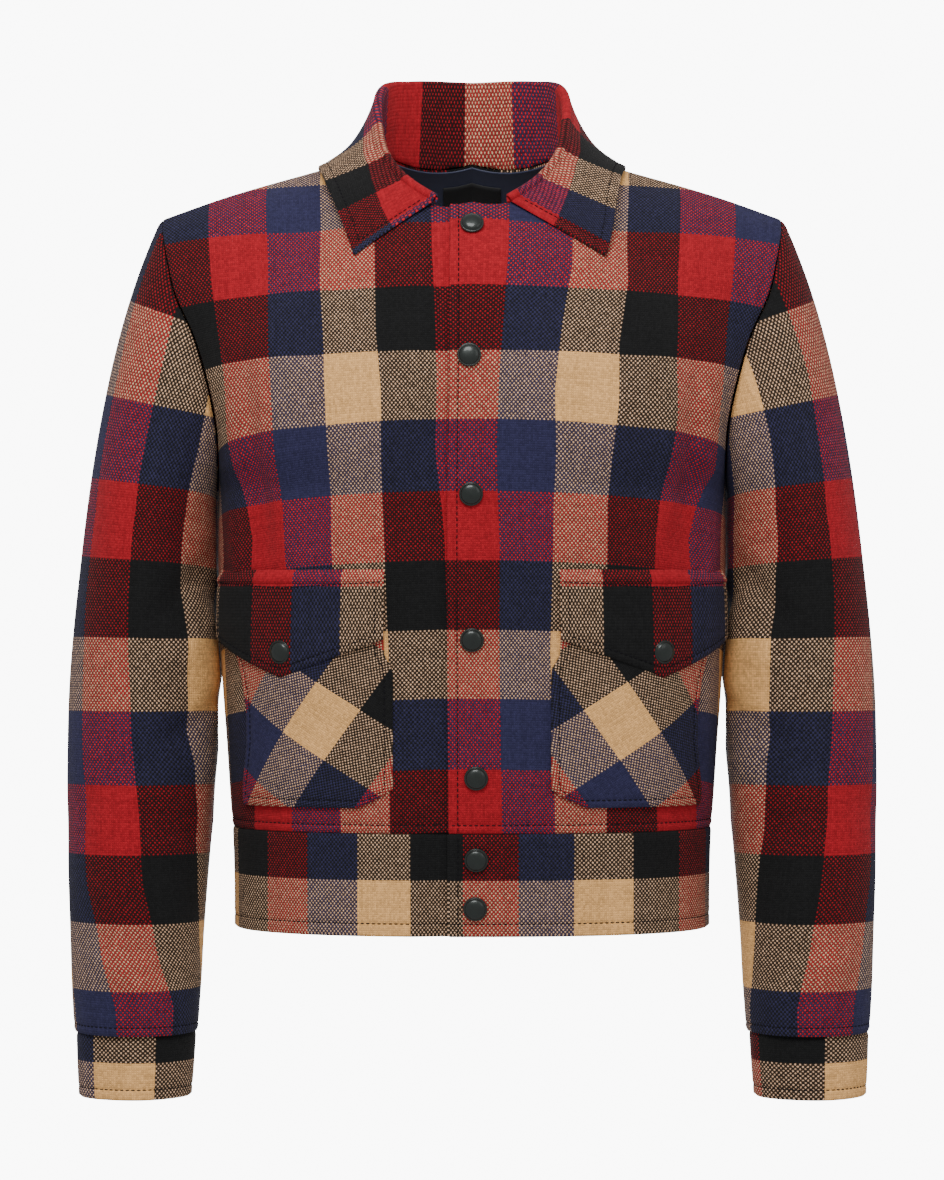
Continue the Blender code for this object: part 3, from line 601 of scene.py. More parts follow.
# Columns of the sleeves. Columns: length over the cuff seam, turn of the edge between
# the red and the black column, turns that one column takes
SLEEVE_COLUMNS_RIGHT = (
    (0.020, 0.362, 0.150),
    (0.063, 0.315, 0.143),
    (0.111, 0.280, 0.142),
    (0.166, 0.268, 0.136),
    (0.224, 0.245, 0.124),
    (0.281, 0.232, 0.118),
    (0.331, 0.228, 0.124),
    (0.390, 0.226, 0.119),
    (0.440, 0.207, 0.118),
    (0.465, 0.195, 0.112),
    (0.500, 0.177, 0.105),
    (0.545, 0.152, 0.103),
    (0.620, 0.125, 0.100),
)
SLEEVE_COLUMNS_LEFT = (
    (0.020, 0.290, 0.155),
    (0.063, 0.258, 0.152),
    (0.111, 0.235, 0.150),
    (0.166, 0.217, 0.140),
    (0.224, 0.203, 0.135),
    (0.281, 0.190, 0.133),
    (0.331, 0.182, 0.136),
    (0.390, 0.180, 0.122),
    (0.450, 0.155, 0.104),
    (0.500, 0.128, 0.105),
    (0.530, 0.120, 0.102),
    (0.620, 0.100, 0.100),
)
# Cuffs: turn of the edge between tan and black, and turns that one column takes
CUFF_COLUMNS = {"cuff_right": (0.317, 0.180), "cuff_left": (0.219, 0.195)}
# Collar: ways of the column edges, with u falling from 10 to -4
COLLAR_WAYS = (-1.11, -0.985, -0.865, -0.75, -0.62, -0.42, -0.21, -0.03,
               0.165, 0.42, 0.60, 0.72, 0.86, 0.965, 1.09)
# Distance past the roll at which the red row of the collar ends. Columns: way, distance
COLLAR_ROW_EDGE = (
    (0.00, 0.020),
    (0.50, 0.018),
    (0.62, 0.015),
    (0.75, 0.016),
    (0.87, 0.026),
    (1.00, 0.041),
)


def graded(low, high, pitch, scale=1.0, marks=()):
    """Places from low to high, about a pitch apart, closer at both ends and at the marks.

    Scale is the length in metres that one unit stands for.
    """
    count = max(2, int(round((high - low) * scale / pitch)))
    places = list(np.linspace(low, high, count + 1))
    for step in EDGE_STEPS:
        places.append(low + step / scale)
        places.append(high - step / scale)
    for mark in marks:
        places.extend(mark + step / scale for step in (-0.0015, -0.0007, 0.0, 0.0007, 0.0015))
    places = np.unique(np.round(places, 7))
    places = places[(places >= low - 1e-9) & (places <= high + 1e-9)]
    kept = [places[0]]
    for place in places[1:-1]:
        if place - kept[-1] > 0.0004 / scale:
            kept.append(place)
    if places[-1] - kept[-1] < 0.0004 / scale:
        kept.pop()
    return np.array(kept + [places[-1]])


def creases(table, a, b):
    """Height of soft ridges and troughs, each along a segment in the plane of a and b.

    Columns of the table: start a and b, end a and b, half width, height.
    """
    total = np.zeros(np.broadcast(a, b).shape)
    for a0, b0, a1, b1, width, height in table:
        along = np.array([a1 - a0, b1 - b0])
        length = np.hypot(*along)
        share = ((a - a0) * along[0] + (b - b0) * along[1]) / length ** 2
        near = np.clip(share, 0.0, 1.0)
        away = np.hypot(a - a0 - near * along[0], b - b0 - near * along[1])
        taper = 0.45 + 0.55 * np.sin(np.pi * np.clip(near * 0.9 + 0.05, 0, 1))
        total = total + height * taper * np.exp(-(away / width) ** 2)
    return total


def dip(distance, shape):
    """A groove or a rolled edge at a distance of 0."""
    depth, half_width = shape
    return -depth * np.exp(-(distance / half_width) ** 2)


def seam(distance):
    """The rolled edge at a seam and the groove of its topstitching."""
    return dip(distance - SEAM_STITCH, GROOVE) + dip(distance, SEAM_ROLL)


def add_object(name, mesh, material):
    """A smooth object of a mesh in one material."""
    mesh.shade_smooth()
    mesh.materials.append(material)
    made = bpy.data.objects.new(name, mesh)
    bpy.context.scene.collection.objects.link(made)
    return made


def add_mesh(name, points, faces, material):
    """An object of points and faces."""
    mesh = bpy.data.meshes.new(name)
    mesh.from_pydata([tuple(p) for p in points], [], faces)
    return add_object(name, mesh, material)


def tube_faces(start, rings, sides):
    """Faces of a tube of rings of points from a start on, closed at both ends."""
    last = start + (rings - 1) * sides
    faces = [tuple(reversed(range(start, start + sides))), tuple(range(last, last + sides))]
    for ring in range(start, last, sides):
        for step in range(sides):
            a = ring + step
            b = ring + (step + 1) % sides
            faces.append((a, b, b + sides, a + sides))
    return faces


def grid_quads(index):
    """Corners of the faces between the rows and columns of a grid of indices."""
    corners = [index[:-1, :-1], index[:-1, 1:], index[1:, 1:], index[1:, :-1]]
    return np.stack(corners, -1).reshape(-1, 4)


def joined_corners(borders, start, total):
    """Indices of all points, in which the ends of two borders that meet are one point."""
    corners = {}
    swap = np.arange(total)
    for edge, _, _ in borders:
        last = start + len(edge) - 1
        for corner, rim in ((edge[0], start), (edge[-1], last)):
            swap[rim] = corners.setdefault(corner, rim)
        start = last + 1
    return swap


def quad_mesh(name, points, faces, coordinates):
    """Mesh of four-cornered faces, with the coordinates of their corners as a UV map."""
    mesh = bpy.data.meshes.new(name)
    mesh.vertices.add(len(points))
    mesh.vertices.foreach_set("co", points.astype(np.float32).ravel())
    mesh.loops.add(faces.size)
    mesh.loops.foreach_set("vertex_index", faces.astype(np.int32).ravel())
    mesh.polygons.add(len(faces))
    mesh.polygons.foreach_set("loop_start", np.arange(0, faces.size, 4, dtype=np.int32))
    mesh.update(calc_edges=True)
    layer = mesh.uv_layers.new(name="cloth")
    layer.data.foreach_set("uv", coordinates.astype(np.float32).ravel())
    mesh.validate()
    return mesh


def drop_loose(mesh):
    """Delete the points that no face uses."""
    clean = bmesh.new()
    clean.from_mesh(mesh)
    loose = [v for v in clean.verts if not v.link_faces]
    if loose:
        bmesh.ops.delete(clean, geom=loose, context="VERTS")
        clean.to_mesh(mesh)
    clean.free()


def add_wall(name, outer, inner, cloth_u, cloth_v, material, ring=False, flip=False, bulge=0.3):
    """A closed wall of cloth between two grids, with its cloth coordinates as a UV map.

    In a ring the last column of the coordinates stands for the first column of points.
    """
    rows, columns = outer.shape[:2]
    thickness = np.linalg.norm(outer - inner, axis=-1).mean()
    flat_outer = outer.reshape(-1, 3)
    flat_inner = inner.reshape(-1, 3)
    count = rows * columns
    wide = columns + 1 if ring else columns
    index = np.arange(count).reshape(rows, columns)
    place = np.arange(rows * wide).reshape(rows, wide)
    if ring:
        index = np.concatenate([index, index[:, :1]], axis=1)
    borders = [(index[0, ::-1], place[0, ::-1], index[1, ::-1]),
               (index[-1], place[-1], index[-2])]
    if not ring:
        borders.append((index[:, 0], place[:, 0], index[:, 1]))
        borders.append((index[::-1, -1], place[::-1, -1], index[::-1, -2]))
    points = [flat_outer, flat_inner]
    faces = [grid_quads(index), grid_quads(index)[:, ::-1] + count]
    marks = [grid_quads(place), grid_quads(place)[:, ::-1]]
    total = 2 * count
    for edge, spot, beside in borders:
        ends = edge[:-1] if ring else edge
        side = beside[:-1] if ring else beside
        away = unit(flat_outer[ends] - flat_outer[side])
        points.append((flat_outer[ends] + flat_inner[ends]) / 2 + away * thickness * bulge)
        rim = np.arange(total, total + len(ends))
        total += len(ends)
        if ring:
            rim = np.append(rim, rim[0])
        faces.append(np.stack([edge[:-1], edge[1:], rim[1:], rim[:-1]], -1))
        faces.append(np.stack([rim[:-1], rim[1:], edge[1:] + count, edge[:-1] + count], -1))
        marks.extend([np.stack([spot[:-1], spot[1:], spot[1:], spot[:-1]], -1)] * 2)
    faces = np.concatenate(faces)
    marks = np.concatenate(marks)
    if not ring:
        faces = joined_corners(borders, 2 * count, total)[faces]
    if flip:
        faces = faces[:, ::-1]
        marks = marks[:, ::-1]
    coordinates = [np.asarray(values).ravel()[marks] for values in (cloth_u, cloth_v)]
    mesh = quad_mesh(name, np.concatenate(points), faces, np.stack(coordinates, -1))
    drop_loose(mesh)
    piece = add_object(name, mesh, material)
    mesh.set_sharp_from_angle(angle=math.radians(70))
    return piece


def body_lengths(behind):
    """Arc from the middle and length over the armpit, all over one half of the body."""
    part = np.linspace(-1, 1, 2 * HALF_STEPS + 1)
    level = np.linspace(0, 2, 2 * HALF_STEPS + 1)
    grid = body_point(part[None, :], level[:, None], behind, False)
    arc = way_along(grid, axis=1)
    rise = way_along(grid, axis=0)
    return arc - arc[:, HALF_STEPS:HALF_STEPS + 1], rise - rise[HALF_STEPS:HALF_STEPS + 1]


def sample(field, part, level):
    """Value of a field of body_lengths at a part and level."""
    column = np.clip((part + 1) * HALF_STEPS, 0, 2 * HALF_STEPS - 0.001)
    row = np.clip(level * HALF_STEPS, 0, 2 * HALF_STEPS - 0.001)
    left = column.astype(int)
    under = row.astype(int)
    x = column - left
    y = row - under
    low = field[under, left] * (1 - x) + field[under, left + 1] * x
    high = field[under + 1, left] * (1 - x) + field[under + 1, left + 1] * x
    return low * (1 - y) + high * y


LENGTHS = {False: body_lengths(False), True: body_lengths(True)}


def steps_between(value, edges, first):
    """Number of edges passed, with the share of the way to the next one.

    Edges has one entry for each edge, each a number or an array like value.
    """
    total = np.full(np.shape(value), float(first))
    for low, high in zip(edges[:-1], edges[1:]):
        total = total + np.clip((value - low) / (high - low), 0, 1)
    total = total + np.minimum(value - edges[0], 0) / COLUMN_PITCH
    return total + np.maximum(value - edges[-1], 0) / COLUMN_PITCH


def front_check(arc, rise, level):
    """Cloth coordinates on the fronts."""
    table = np.array(FRONT_COLUMNS, float)
    edges = [np.interp(level, table[:, 0], table[:, k]) / 1000 for k in range(1, table.shape[1])]
    u = steps_between(arc, edges, -4)
    rows = np.array(FRONT_ROWS) / 1000
    low = 1 - ease(0.0, 0.10, rise)
    lifted = rise + SIDE_DROP * (arc / 0.17) ** 2 * low
    v = np.interp(-lifted, -rows, np.arange(len(rows)))
    v = v - np.maximum(lifted - rows[0], 0) / ROW_PITCH
    return u, v + np.maximum(rows[-1] - lifted, 0) / ROW_PITCH


def back_check(arc, rise):
    """Cloth coordinates on the back."""
    pitch = np.where(rise > 0, ROW_PITCH * BACK_ROW_SHARE, ROW_PITCH)
    return BACK_COLUMN - arc / COLUMN_PITCH, BACK_ROW - rise / pitch


def body_grid(part, behind):
    """Grids of a body panel: points, normals, arc, rise and level."""
    gap = GAP / PANEL_HEIGHT
    level = graded(gap, 2 - gap, PITCH, PANEL_HEIGHT, (SEAM_STITCH / PANEL_HEIGHT,))
    grid = body_point(part[None, :], level[:, None], behind)
    top = neck_rise(part, behind)[None, :]
    level = np.where(level[:, None] > 1, 1 + (level[:, None] - 1) * top, level[:, None])
    whole = np.broadcast_to(part[None, :], level.shape)
    arc = sample(LENGTHS[behind][0], whole, level)
    rise = sample(LENGTHS[behind][1], whole, level)
    if not behind:
        side = 1 if part.mean() > 0 else -1
        lead = np.full(2 * HALF_STEPS + 1, LEAD_PART * side)
        line = body_point(lead, np.linspace(0, 2, len(lead)), False, False)
        column = HALF_STEPS + side * round(LEAD_PART * HALF_STEPS)
        along = np.interp(grid[..., 2], line[:, 2], LENGTHS[False][1][:, column])
        share = LEAD_SHARE * ease(0.09, 0.15, np.abs(arc)) * ease(0.0, 0.05, rise)
        rise = rise + share * (along - rise)
    return grid, grid_normals(grid), arc, rise, level


def finish_piece(piece, node):
    """Seat a piece on the frame and hide the plain part that it covers."""
    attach(piece, "root")
    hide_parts(node)
    return piece


def at_lengths(values, length, where):
    """Values along a line at given lengths from its start."""
    return np.stack([np.interp(where, length, values[:, k]) for k in range(3)], -1)


def stitch_mesh(lines):
    """Points and faces of small stitches along lines of points with normals."""
    blocks = []
    faces = []
    count = 0
    for line, normal in lines:
        length = way_along(line)
        starts = np.arange(STITCH_STEP * 0.4, length[-1] - STITCH, STITCH_STEP)
        a = at_lengths(line, length, starts)
        b = at_lengths(line, length, starts + STITCH)
        up = unit(at_lengths(normal, length, starts + STITCH / 2))
        aside = np.cross(up, unit(b - a))
        rings = []
        for share, size in STITCH_PROFILE:
            middle = a + (b - a) * share + up * THREAD * (0.9 * np.sin(np.pi * share) - 0.15)
            for k in range(STITCH_SIDES):
                angle = 2 * math.pi * k / STITCH_SIDES
                spoke = aside * math.cos(angle) * 1.15 + up * math.sin(angle)
                rings.append(middle + THREAD * size * spoke)
        blocks.append(np.stack(rings, axis=1).reshape(-1, 3))
        for _ in starts:
            faces.extend(tube_faces(count, len(STITCH_PROFILE), STITCH_SIDES))
            count += len(STITCH_PROFILE) * STITCH_SIDES
    return np.concatenate(blocks), faces


def add_stitches(name, lines, material):
    """One object that holds the stitches of a piece."""
    piece = add_mesh(name, *stitch_mesh(lines), material)
    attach(piece, "root")
    return piece


def line_at(grid, normals, row=None, column=None):
    """A row or a column of a grid as a line for stitches."""
    take = (row, slice(None)) if column is None else (slice(None), column)
    return grid[take], normals[take]


def ring_line(grid, normals, row, side):
    """A closed row of a ring as a line for stitches, on one side of the jacket."""
    return [np.concatenate([g[row], g[row, :1]]) * mirror(side) for g in (grid, normals)]


class Tree:
    """Short calls that add nodes to a material."""

    def __init__(self, name):
        self.material = bpy.data.materials.new(name)
        self.material.use_nodes = True
        self.nodes = self.material.node_tree.nodes
        self.links = self.material.node_tree.links
        self.shader = self.nodes["Principled BSDF"]

    def add(self, kind, inputs=None, **settings):
        """A node with its settings and inputs; an input is a value or another node's socket."""
        made = self.nodes.new(kind)
        for key, value in settings.items():
            setattr(made, key, value)
        for key, value in (inputs or {}).items():
            self.put(made.inputs[key], value)
        return made

    def put(self, socket, value):
        """Link or set one input."""
        if isinstance(value, bpy.types.NodeSocket):
            self.links.new(value, socket)
        else:
            socket.default_value = value

    def math(self, operation, a, b=0.0, c=0.0):
        """Socket of a maths node."""
        return self.add("ShaderNodeMath", {0: a, 1: b, 2: c}, operation=operation).outputs[0]

    def mix(self, factor, a, b, blend="MIX"):
        """Socket of two mixed colours."""
        made = self.add("ShaderNodeMix", data_type="RGBA", blend_type=blend)
        self.put(made.inputs[0], factor)
        self.put(made.inputs[6], a)
        self.put(made.inputs[7], b)
        return made.outputs[2]

    def grey(self, value):
        """Socket of a colour of three equal parts."""
        return self.add("ShaderNodeCombineColor", {0: value, 1: value, 2: value}).outputs[0]

    def tone(self, colour):
        """Socket of the brightness of a colour."""
        return self.add("ShaderNodeRGBToBW", {0: colour}).outputs[0]

    def stretch(self, value, low, high, to_low, to_high):
        """Socket of a value carried over from one range to another, and kept within it."""
        values = {0: value, 1: low, 2: high, 3: to_low, 4: to_high}
        return self.add("ShaderNodeMapRange", values).outputs[0]

    def noise(self, coordinate, scale, detail, rough):
        """A noise node."""
        values = {"Vector": coordinate, "Scale": scale, "Detail": detail, "Roughness": rough}
        return self.add("ShaderNodeTexNoise", values)

    def bands(self, place, names):
        """Colour of the thread at a place in the cycle from 0 to 4."""
        ramp = self.add("ShaderNodeValToRGB", {0: self.math("MULTIPLY", place, 0.25)})
        ramp.color_ramp.interpolation = "CONSTANT"
        for k, yarn in enumerate(names):
            stop = ramp.color_ramp.elements[0] if k == 0 else ramp.color_ramp.elements.new(k / 4)
            stop.position = k / 4
            stop.color = (*YARNS[yarn], 1.0)
        while len(ramp.color_ramp.elements) > len(names):
            ramp.color_ramp.elements.remove(ramp.color_ramp.elements[-1])
        return ramp.outputs[0]


def yarn_places(t, place):
    """Places counted in warp ends and in weft picks, the edges of the yarns unsteady."""
    cloth = t.add("ShaderNodeUVMap", uv_map="cloth").outputs[0]
    split = t.add("ShaderNodeSeparateXYZ", {0: cloth})
    fuzz = t.noise(place, 750.0, 3.0, 0.6)
    apart = t.add("ShaderNodeSeparateColor", {0: fuzz.outputs["Color"]})
    places = []
    for axis, count in ((0, ENDS), (1, PICKS)):
        shift = t.math("MULTIPLY_ADD", apart.outputs[axis], YARN_WANDER, -YARN_WANDER / 2)
        places.append(t.math("MULTIPLY_ADD", split.outputs[axis], float(count), shift))
    return places


def cycle_place(t, number, count):
    """Place of a numbered yarn in the cycle of four bands of a count of yarns."""
    return t.math("WRAP", t.math("DIVIDE", t.math("ADD", number, 0.5), float(count)), 4.0, 0.0)


def crossing_shade(t, warp, weft, colour, yarn):
    """Painted shade on the lighter yarn's dots: dimmer the more unlike the two yarns are, darker at
    the dot's edges and brighter on its crest.
    """
    warp_tone = t.tone(warp)
    weft_tone = t.tone(weft)
    both = t.math("ADD", warp_tone, weft_tone)
    apart = t.math("ABSOLUTE", t.math("SUBTRACT", warp_tone, weft_tone))
    # Painted shade: the lighter yarn dims where it crosses a much darker one.
    dim = t.grey(t.stretch(t.math("DIVIDE", apart, both), 0.48, 0.80, 1.02, 0.58))
    dot = t.mix(t.math("GREATER_THAN", apart, 0.2), dim, DOT_SHADE)
    # Painted shade at the edges of each dot and painted highlight on its crest.
    crest_shade = t.grey(t.stretch(yarn, 0.10, 0.20, 0.22, 1.62))
    dot = t.mix(1.0, dot, crest_shade, "MULTIPLY")
    bound = t.math("MAXIMUM", 0.045, t.math("MULTIPLY", both, 0.51))
    lighter = t.math("GREATER_THAN", t.tone(colour), bound)
    return t.mix(lighter, (1.0, 1.0, 1.0, 1.0), dot)


def wool_material(name):
    """Plain-woven wool of thick yarns in the check, from the cloth coordinates."""
    t = Tree(name)
    place = t.add("ShaderNodeTexCoord").outputs["Object"]
    end, pick = yarn_places(t, place)
    end_number = t.math("FLOOR", end)
    pick_number = t.math("FLOOR", pick)
    warp = t.bands(cycle_place(t, end_number, ENDS), WARP)
    weft = t.bands(cycle_place(t, pick_number, PICKS), WEFT)
    over = t.math("WRAP", t.math("ADD", end_number, pick_number), 2.0, 0.0)
    over = t.math("GREATER_THAN", over, 0.5)
    colour = t.mix(t.math("MULTIPLY_ADD", over, 0.96, 0.02), warp, weft)
    across = t.math("POWER", t.math("PINGPONG", end, 0.5), 0.7)
    along = t.math("POWER", t.math("PINGPONG", pick, 0.5), 0.7)
    yarn = t.math("MULTIPLY", across, along)
    # Painted shade on the lighter yarn's dots where unlike yarns cross.
    colour = t.mix(1.0, colour, crossing_shade(t, warp, weft, colour, yarn), "MULTIPLY")
    crossing = t.add("ShaderNodeCombineXYZ", {0: end_number, 1: pick_number})
    crossing = t.add("ShaderNodeTexWhiteNoise", {"Vector": crossing.outputs[0]})
    end_tone = t.add("ShaderNodeTexWhiteNoise", {"W": end_number}, noise_dimensions="1D")
    pick_tone = t.add("ShaderNodeTexWhiteNoise", {"W": pick_number}, noise_dimensions="1D")
    fibre = t.noise(place, 1900.0, 2.0, 0.7).outputs[0]
    broad = t.noise(place, 22.0, 3.0, 0.55).outputs[0]
    # Tone: random per crossing, per thread and in the fibres, plus painted shade towards the edges of
    # each yarn from the yarn profile.
    tone = t.math("MULTIPLY_ADD", crossing.outputs[0], 0.36, 0.37)
    shades = ((yarn, 0.80), (end_tone.outputs[0], 0.10), (pick_tone.outputs[0], 0.10),
              (fibre, 0.32), (broad, 0.16))
    for shade, weight in shades:
        tone = t.math("MULTIPLY_ADD", shade, weight, tone)
    colour = t.mix(1.0, colour, t.grey(tone), "MULTIPLY")
    height = t.math("MULTIPLY_ADD", fibre, 0.35, t.math("MULTIPLY", yarn, 1.6))
    bump = t.add("ShaderNodeBump", {"Strength": 0.9, "Distance": 0.0006, "Height": height})
    t.put(t.shader.inputs["Base Color"], colour)
    t.put(t.shader.inputs["Normal"], bump.outputs[0])
    t.put(t.shader.inputs["Roughness"], t.math("MULTIPLY_ADD", fibre, 0.12, 0.86))
    t.put(t.shader.inputs["Specular IOR Level"], 0.12)
    t.put(t.shader.inputs["Sheen Weight"], 0.06)
    t.put(t.shader.inputs["Sheen Roughness"], 0.45)
    t.put(t.shader.inputs["Sheen Tint"], t.mix(0.45, colour, (1.0, 0.95, 0.9, 1.0)))
    return t.material


def plain_material(name, colour, roughness, scale, depth=0.0002, spread=0.25, **settings):
    """A material with a fine uneven surface; settings are values of the shader's inputs."""
    t = Tree(name)
    place = t.add("ShaderNodeTexCoord").outputs["Object"]
    grain = t.noise(place, scale, 3.0, 0.6).outputs[0]
    tone = t.math("MULTIPLY_ADD", grain, 2 * spread, 1 - spread)
    t.put(t.shader.inputs["Base Color"], t.mix(1.0, (*colour, 1.0), t.grey(tone), "MULTIPLY"))
    t.put(t.shader.inputs["Roughness"], t.math("MULTIPLY_ADD", grain, 0.16, roughness - 0.08))
    bump = t.add("ShaderNodeBump", {"Strength": 0.5, "Distance": depth, "Height": grain})
    t.put(t.shader.inputs["Normal"], bump.outputs[0])
    for key, value in settings.items():
        t.put(t.shader.inputs[key.replace("_", " ")], value)
    return t.material


# Creases of the fronts: the wearer's left front, then the right one, image left.
# Columns: arc and rise at the start, arc and rise at the end, half width, height
FRONT_CREASES = (
    (0.178, 0.100, 0.168, -0.050, 0.013, -0.0048),
    (0.150, 0.070, 0.138, -0.080, 0.014, 0.0026),
    (0.150, -0.040, 0.128, -0.110, 0.011, -0.0030),
    (0.205, -0.040, 0.175, -0.110, 0.012, 0.0030),
    (0.085, 0.185, 0.140, 0.120, 0.022, 0.0022),
    (0.110, 0.215, 0.175, 0.150, 0.018, -0.0018),
    (0.090, -0.215, 0.170, -0.235, 0.010, -0.0016),
    (0.040, 0.100, 0.060, -0.040, 0.022, 0.0014),
    (0.060, -0.195, 0.045, -0.240, 0.012, -0.0012),
    (-0.182, 0.090, -0.160, -0.060, 0.013, -0.0048),
    (-0.152, 0.060, -0.132, -0.090, 0.015, 0.0028),
    (-0.205, -0.020, -0.178, -0.100, 0.012, 0.0028),
    (-0.140, -0.060, -0.118, -0.115, 0.011, -0.0026),
    (-0.100, 0.190, -0.150, 0.115, 0.020, 0.0024),
    (-0.120, 0.220, -0.175, 0.160, 0.018, -0.0018),
    (-0.100, -0.212, -0.175, -0.236, 0.010, -0.0016),
    (-0.045, 0.090, -0.055, -0.050, 0.020, 0.0012),
    (-0.050, -0.200, -0.060, -0.242, 0.012, 0.0012),
)
BACK_CREASES = (
    (0.185, 0.090, 0.160, -0.060, 0.015, -0.0042),
    (0.150, 0.060, 0.130, -0.080, 0.016, 0.0026),
    (-0.180, 0.100, -0.158, -0.050, 0.015, -0.0040),
    (-0.148, 0.070, -0.125, -0.090, 0.017, 0.0026),
    (0.020, -0.160, 0.050, -0.245, 0.018, 0.0026),
    (-0.060, -0.150, -0.080, -0.245, 0.020, 0.0024),
    (0.110, -0.170, 0.120, -0.245, 0.016, 0.0020),
    (-0.020, -0.180, -0.020, -0.245, 0.014, -0.0018),
    (0.070, 0.200, 0.140, 0.140, 0.022, 0.0020),
    (-0.080, 0.195, -0.150, 0.130, 0.022, 0.0020),
)


def dress_fronts(wool, thread):
    """The two fronts, with rolled seams, stitched grooves and creases."""
    stitch = EDGE_STITCH / PANEL_WIDTH
    part = graded(-LAP, 1 - GAP / PANEL_WIDTH, PITCH, PANEL_WIDTH, (-LAP + stitch, NECK_PART))
    for name, side in (("front_left", 1), ("front_right", -1)):
        across = part if side > 0 else -part[::-1]
        grid, normals, arc, rise, level = body_grid(across, False)
        from_edge = np.abs(arc - sample(LENGTHS[False][0], np.full_like(level, -side * LAP), level))
        from_seam = rise - rise[:1]
        from_side = np.abs(arc - sample(LENGTHS[False][0], np.full_like(level, side * 1.0), level))
        height = creases(FRONT_CREASES, arc, rise) + seam(from_seam) + dip(from_side, SIDE_ROLL)
        if side > 0:
            height = height + dip(from_edge - EDGE_STITCH, EDGE_GROOVE)
        else:
            sink = LAP_SINK * ease(-LAP_START, -LAP_END, across)
            grid = grid - normals * sink[None, :, None]
        grid = grid + normals * height[..., None]
        normals = grid_normals(grid)
        u, v = front_check(arc, rise, level)
        piece = add_wall("cloth_" + name, grid, grid - normals * WALL, u, v, wool)
        row = nearest(from_seam[:, SEAM_COLUMN], SEAM_STITCH)
        lines = [line_at(grid, normals, row=row)]
        if side > 0:
            lines.append(line_at(grid, normals, column=nearest(part, -LAP + stitch)))
        extra = add_stitches("stitches_" + name, lines, thread)
        finish_piece(piece, name)


def dress_back(wool, thread):
    """The back panel. Returns its grid, normals and parts of one half."""
    part = graded(0.0, 1 - GAP / PANEL_WIDTH, PITCH, PANEL_WIDTH, (NECK_PART,))
    across = np.concatenate([part[::-1], -part[1:]])
    grid, normals, arc, rise, level = body_grid(across, True)
    from_seam = rise - rise[:1]
    edge = sample(LENGTHS[True][0], np.ones_like(level), level)
    height = creases(BACK_CREASES, arc, rise) + seam(from_seam)
    height = height + dip(edge - np.abs(arc), SIDE_ROLL)
    grid = grid + normals * height[..., None]
    normals = grid_normals(grid)
    u, v = back_check(arc, rise)
    piece = add_wall("cloth_back", grid, grid - normals * WALL, u, v, wool)
    row = nearest(from_seam[:, SEAM_COLUMN], SEAM_STITCH)
    extra = add_stitches("stitches_back", [line_at(grid, normals, row=row)], thread)
    finish_piece(piece, "back")
    return grid, normals, part


# Creases of the sleeves. Columns: turn (in lengths of 0.4 m a turn) and depth at the
# start, the same at the end, half width, height
SLEEVE_CREASES = (
    (0.175, 0.300, 0.115, 0.345, 0.011, -0.0034),
    (0.185, 0.335, 0.120, 0.385, 0.012, 0.0026),
    (0.190, 0.405, 0.130, 0.435, 0.010, -0.0028),
    (0.185, 0.460, 0.120, 0.450, 0.012, 0.0024),
    (0.180, 0.520, 0.110, 0.490, 0.011, -0.0022),
    (0.060, 0.600, 0.140, 0.625, 0.010, 0.0018),
    (0.050, 0.560, 0.060, 0.630, 0.016, -0.0012),
    (0.220, 0.310, 0.290, 0.360, 0.012, -0.0030),
    (0.215, 0.360, 0.285, 0.400, 0.013, 0.0024),
    (0.215, 0.430, 0.290, 0.455, 0.011, -0.0024),
    (0.225, 0.500, 0.300, 0.480, 0.012, 0.0020),
    (0.260, 0.600, 0.330, 0.620, 0.011, -0.0016),
)
TURN_LENGTH = 0.4


def sleeve_surface():
    """Grid of the +X sleeve from the armhole to the cuff, with its broad folds."""
    start = armhole(TURN % 1.0) + np.array([ARMHOLE_GAP, 0, 0])
    bicep = np.full(TURNS, -BICEP)
    end = sleeve_ring(TURN, bicep, SLEEVE_RINGS)
    reach = np.linalg.norm(end - start, axis=1, keepdims=True)
    leave = unit(smooth(SLEEVE_START, TURN % 1.0)) * reach
    arrive = unit(sleeve_ring(TURN, bicep + 0.02, SLEEVE_RINGS) - end) * reach
    shares = np.concatenate([CAP_EDGE_SHARES, np.linspace(0, 1, CAP_ROWS + 1)[2:-1]])
    rows = []
    for share in shares:
        row = (1 + 2 * share) * (1 - share) ** 2 * start + share * (1 - share) ** 2 * leave
        rows.append(row + share ** 2 * (3 - 2 * share) * end + share ** 2 * (share - 1) * arrive)
    bottom = -CUFF_SEAM - GAP
    for depth in graded(-BICEP, bottom, PITCH, 1.0, (bottom - SEAM_STITCH,)):
        rows.append(sleeve_ring(TURN, np.full(TURNS, depth), SLEEVE_RINGS))
    base = np.array(rows)
    fold = fold_height(TURN[None, :] % 1.0, -base[..., 2], SLEEVE_FOLDS)
    fold = fold * ease(-BICEP - 0.03, -BICEP + 0.03, -base[..., 2])
    base = base + grid_normals(base, ring=True) * fold[..., None]
    away = np.abs(TURN % 1.0 - 0.5)
    swell = SLEEVE_SWELL * np.exp(-((away - 0.07) / 0.09) ** 2)[None, :]
    swell = swell * ease(0.25, 0.31, -base[..., 2]) * (1 - ease(0.49, 0.60, -base[..., 2]))
    base = base + grid_normals(base, ring=True) * swell[..., None]
    base[1:] = push_off(base[1:], SLEEVE_CLEARANCE, beside=False)
    return base


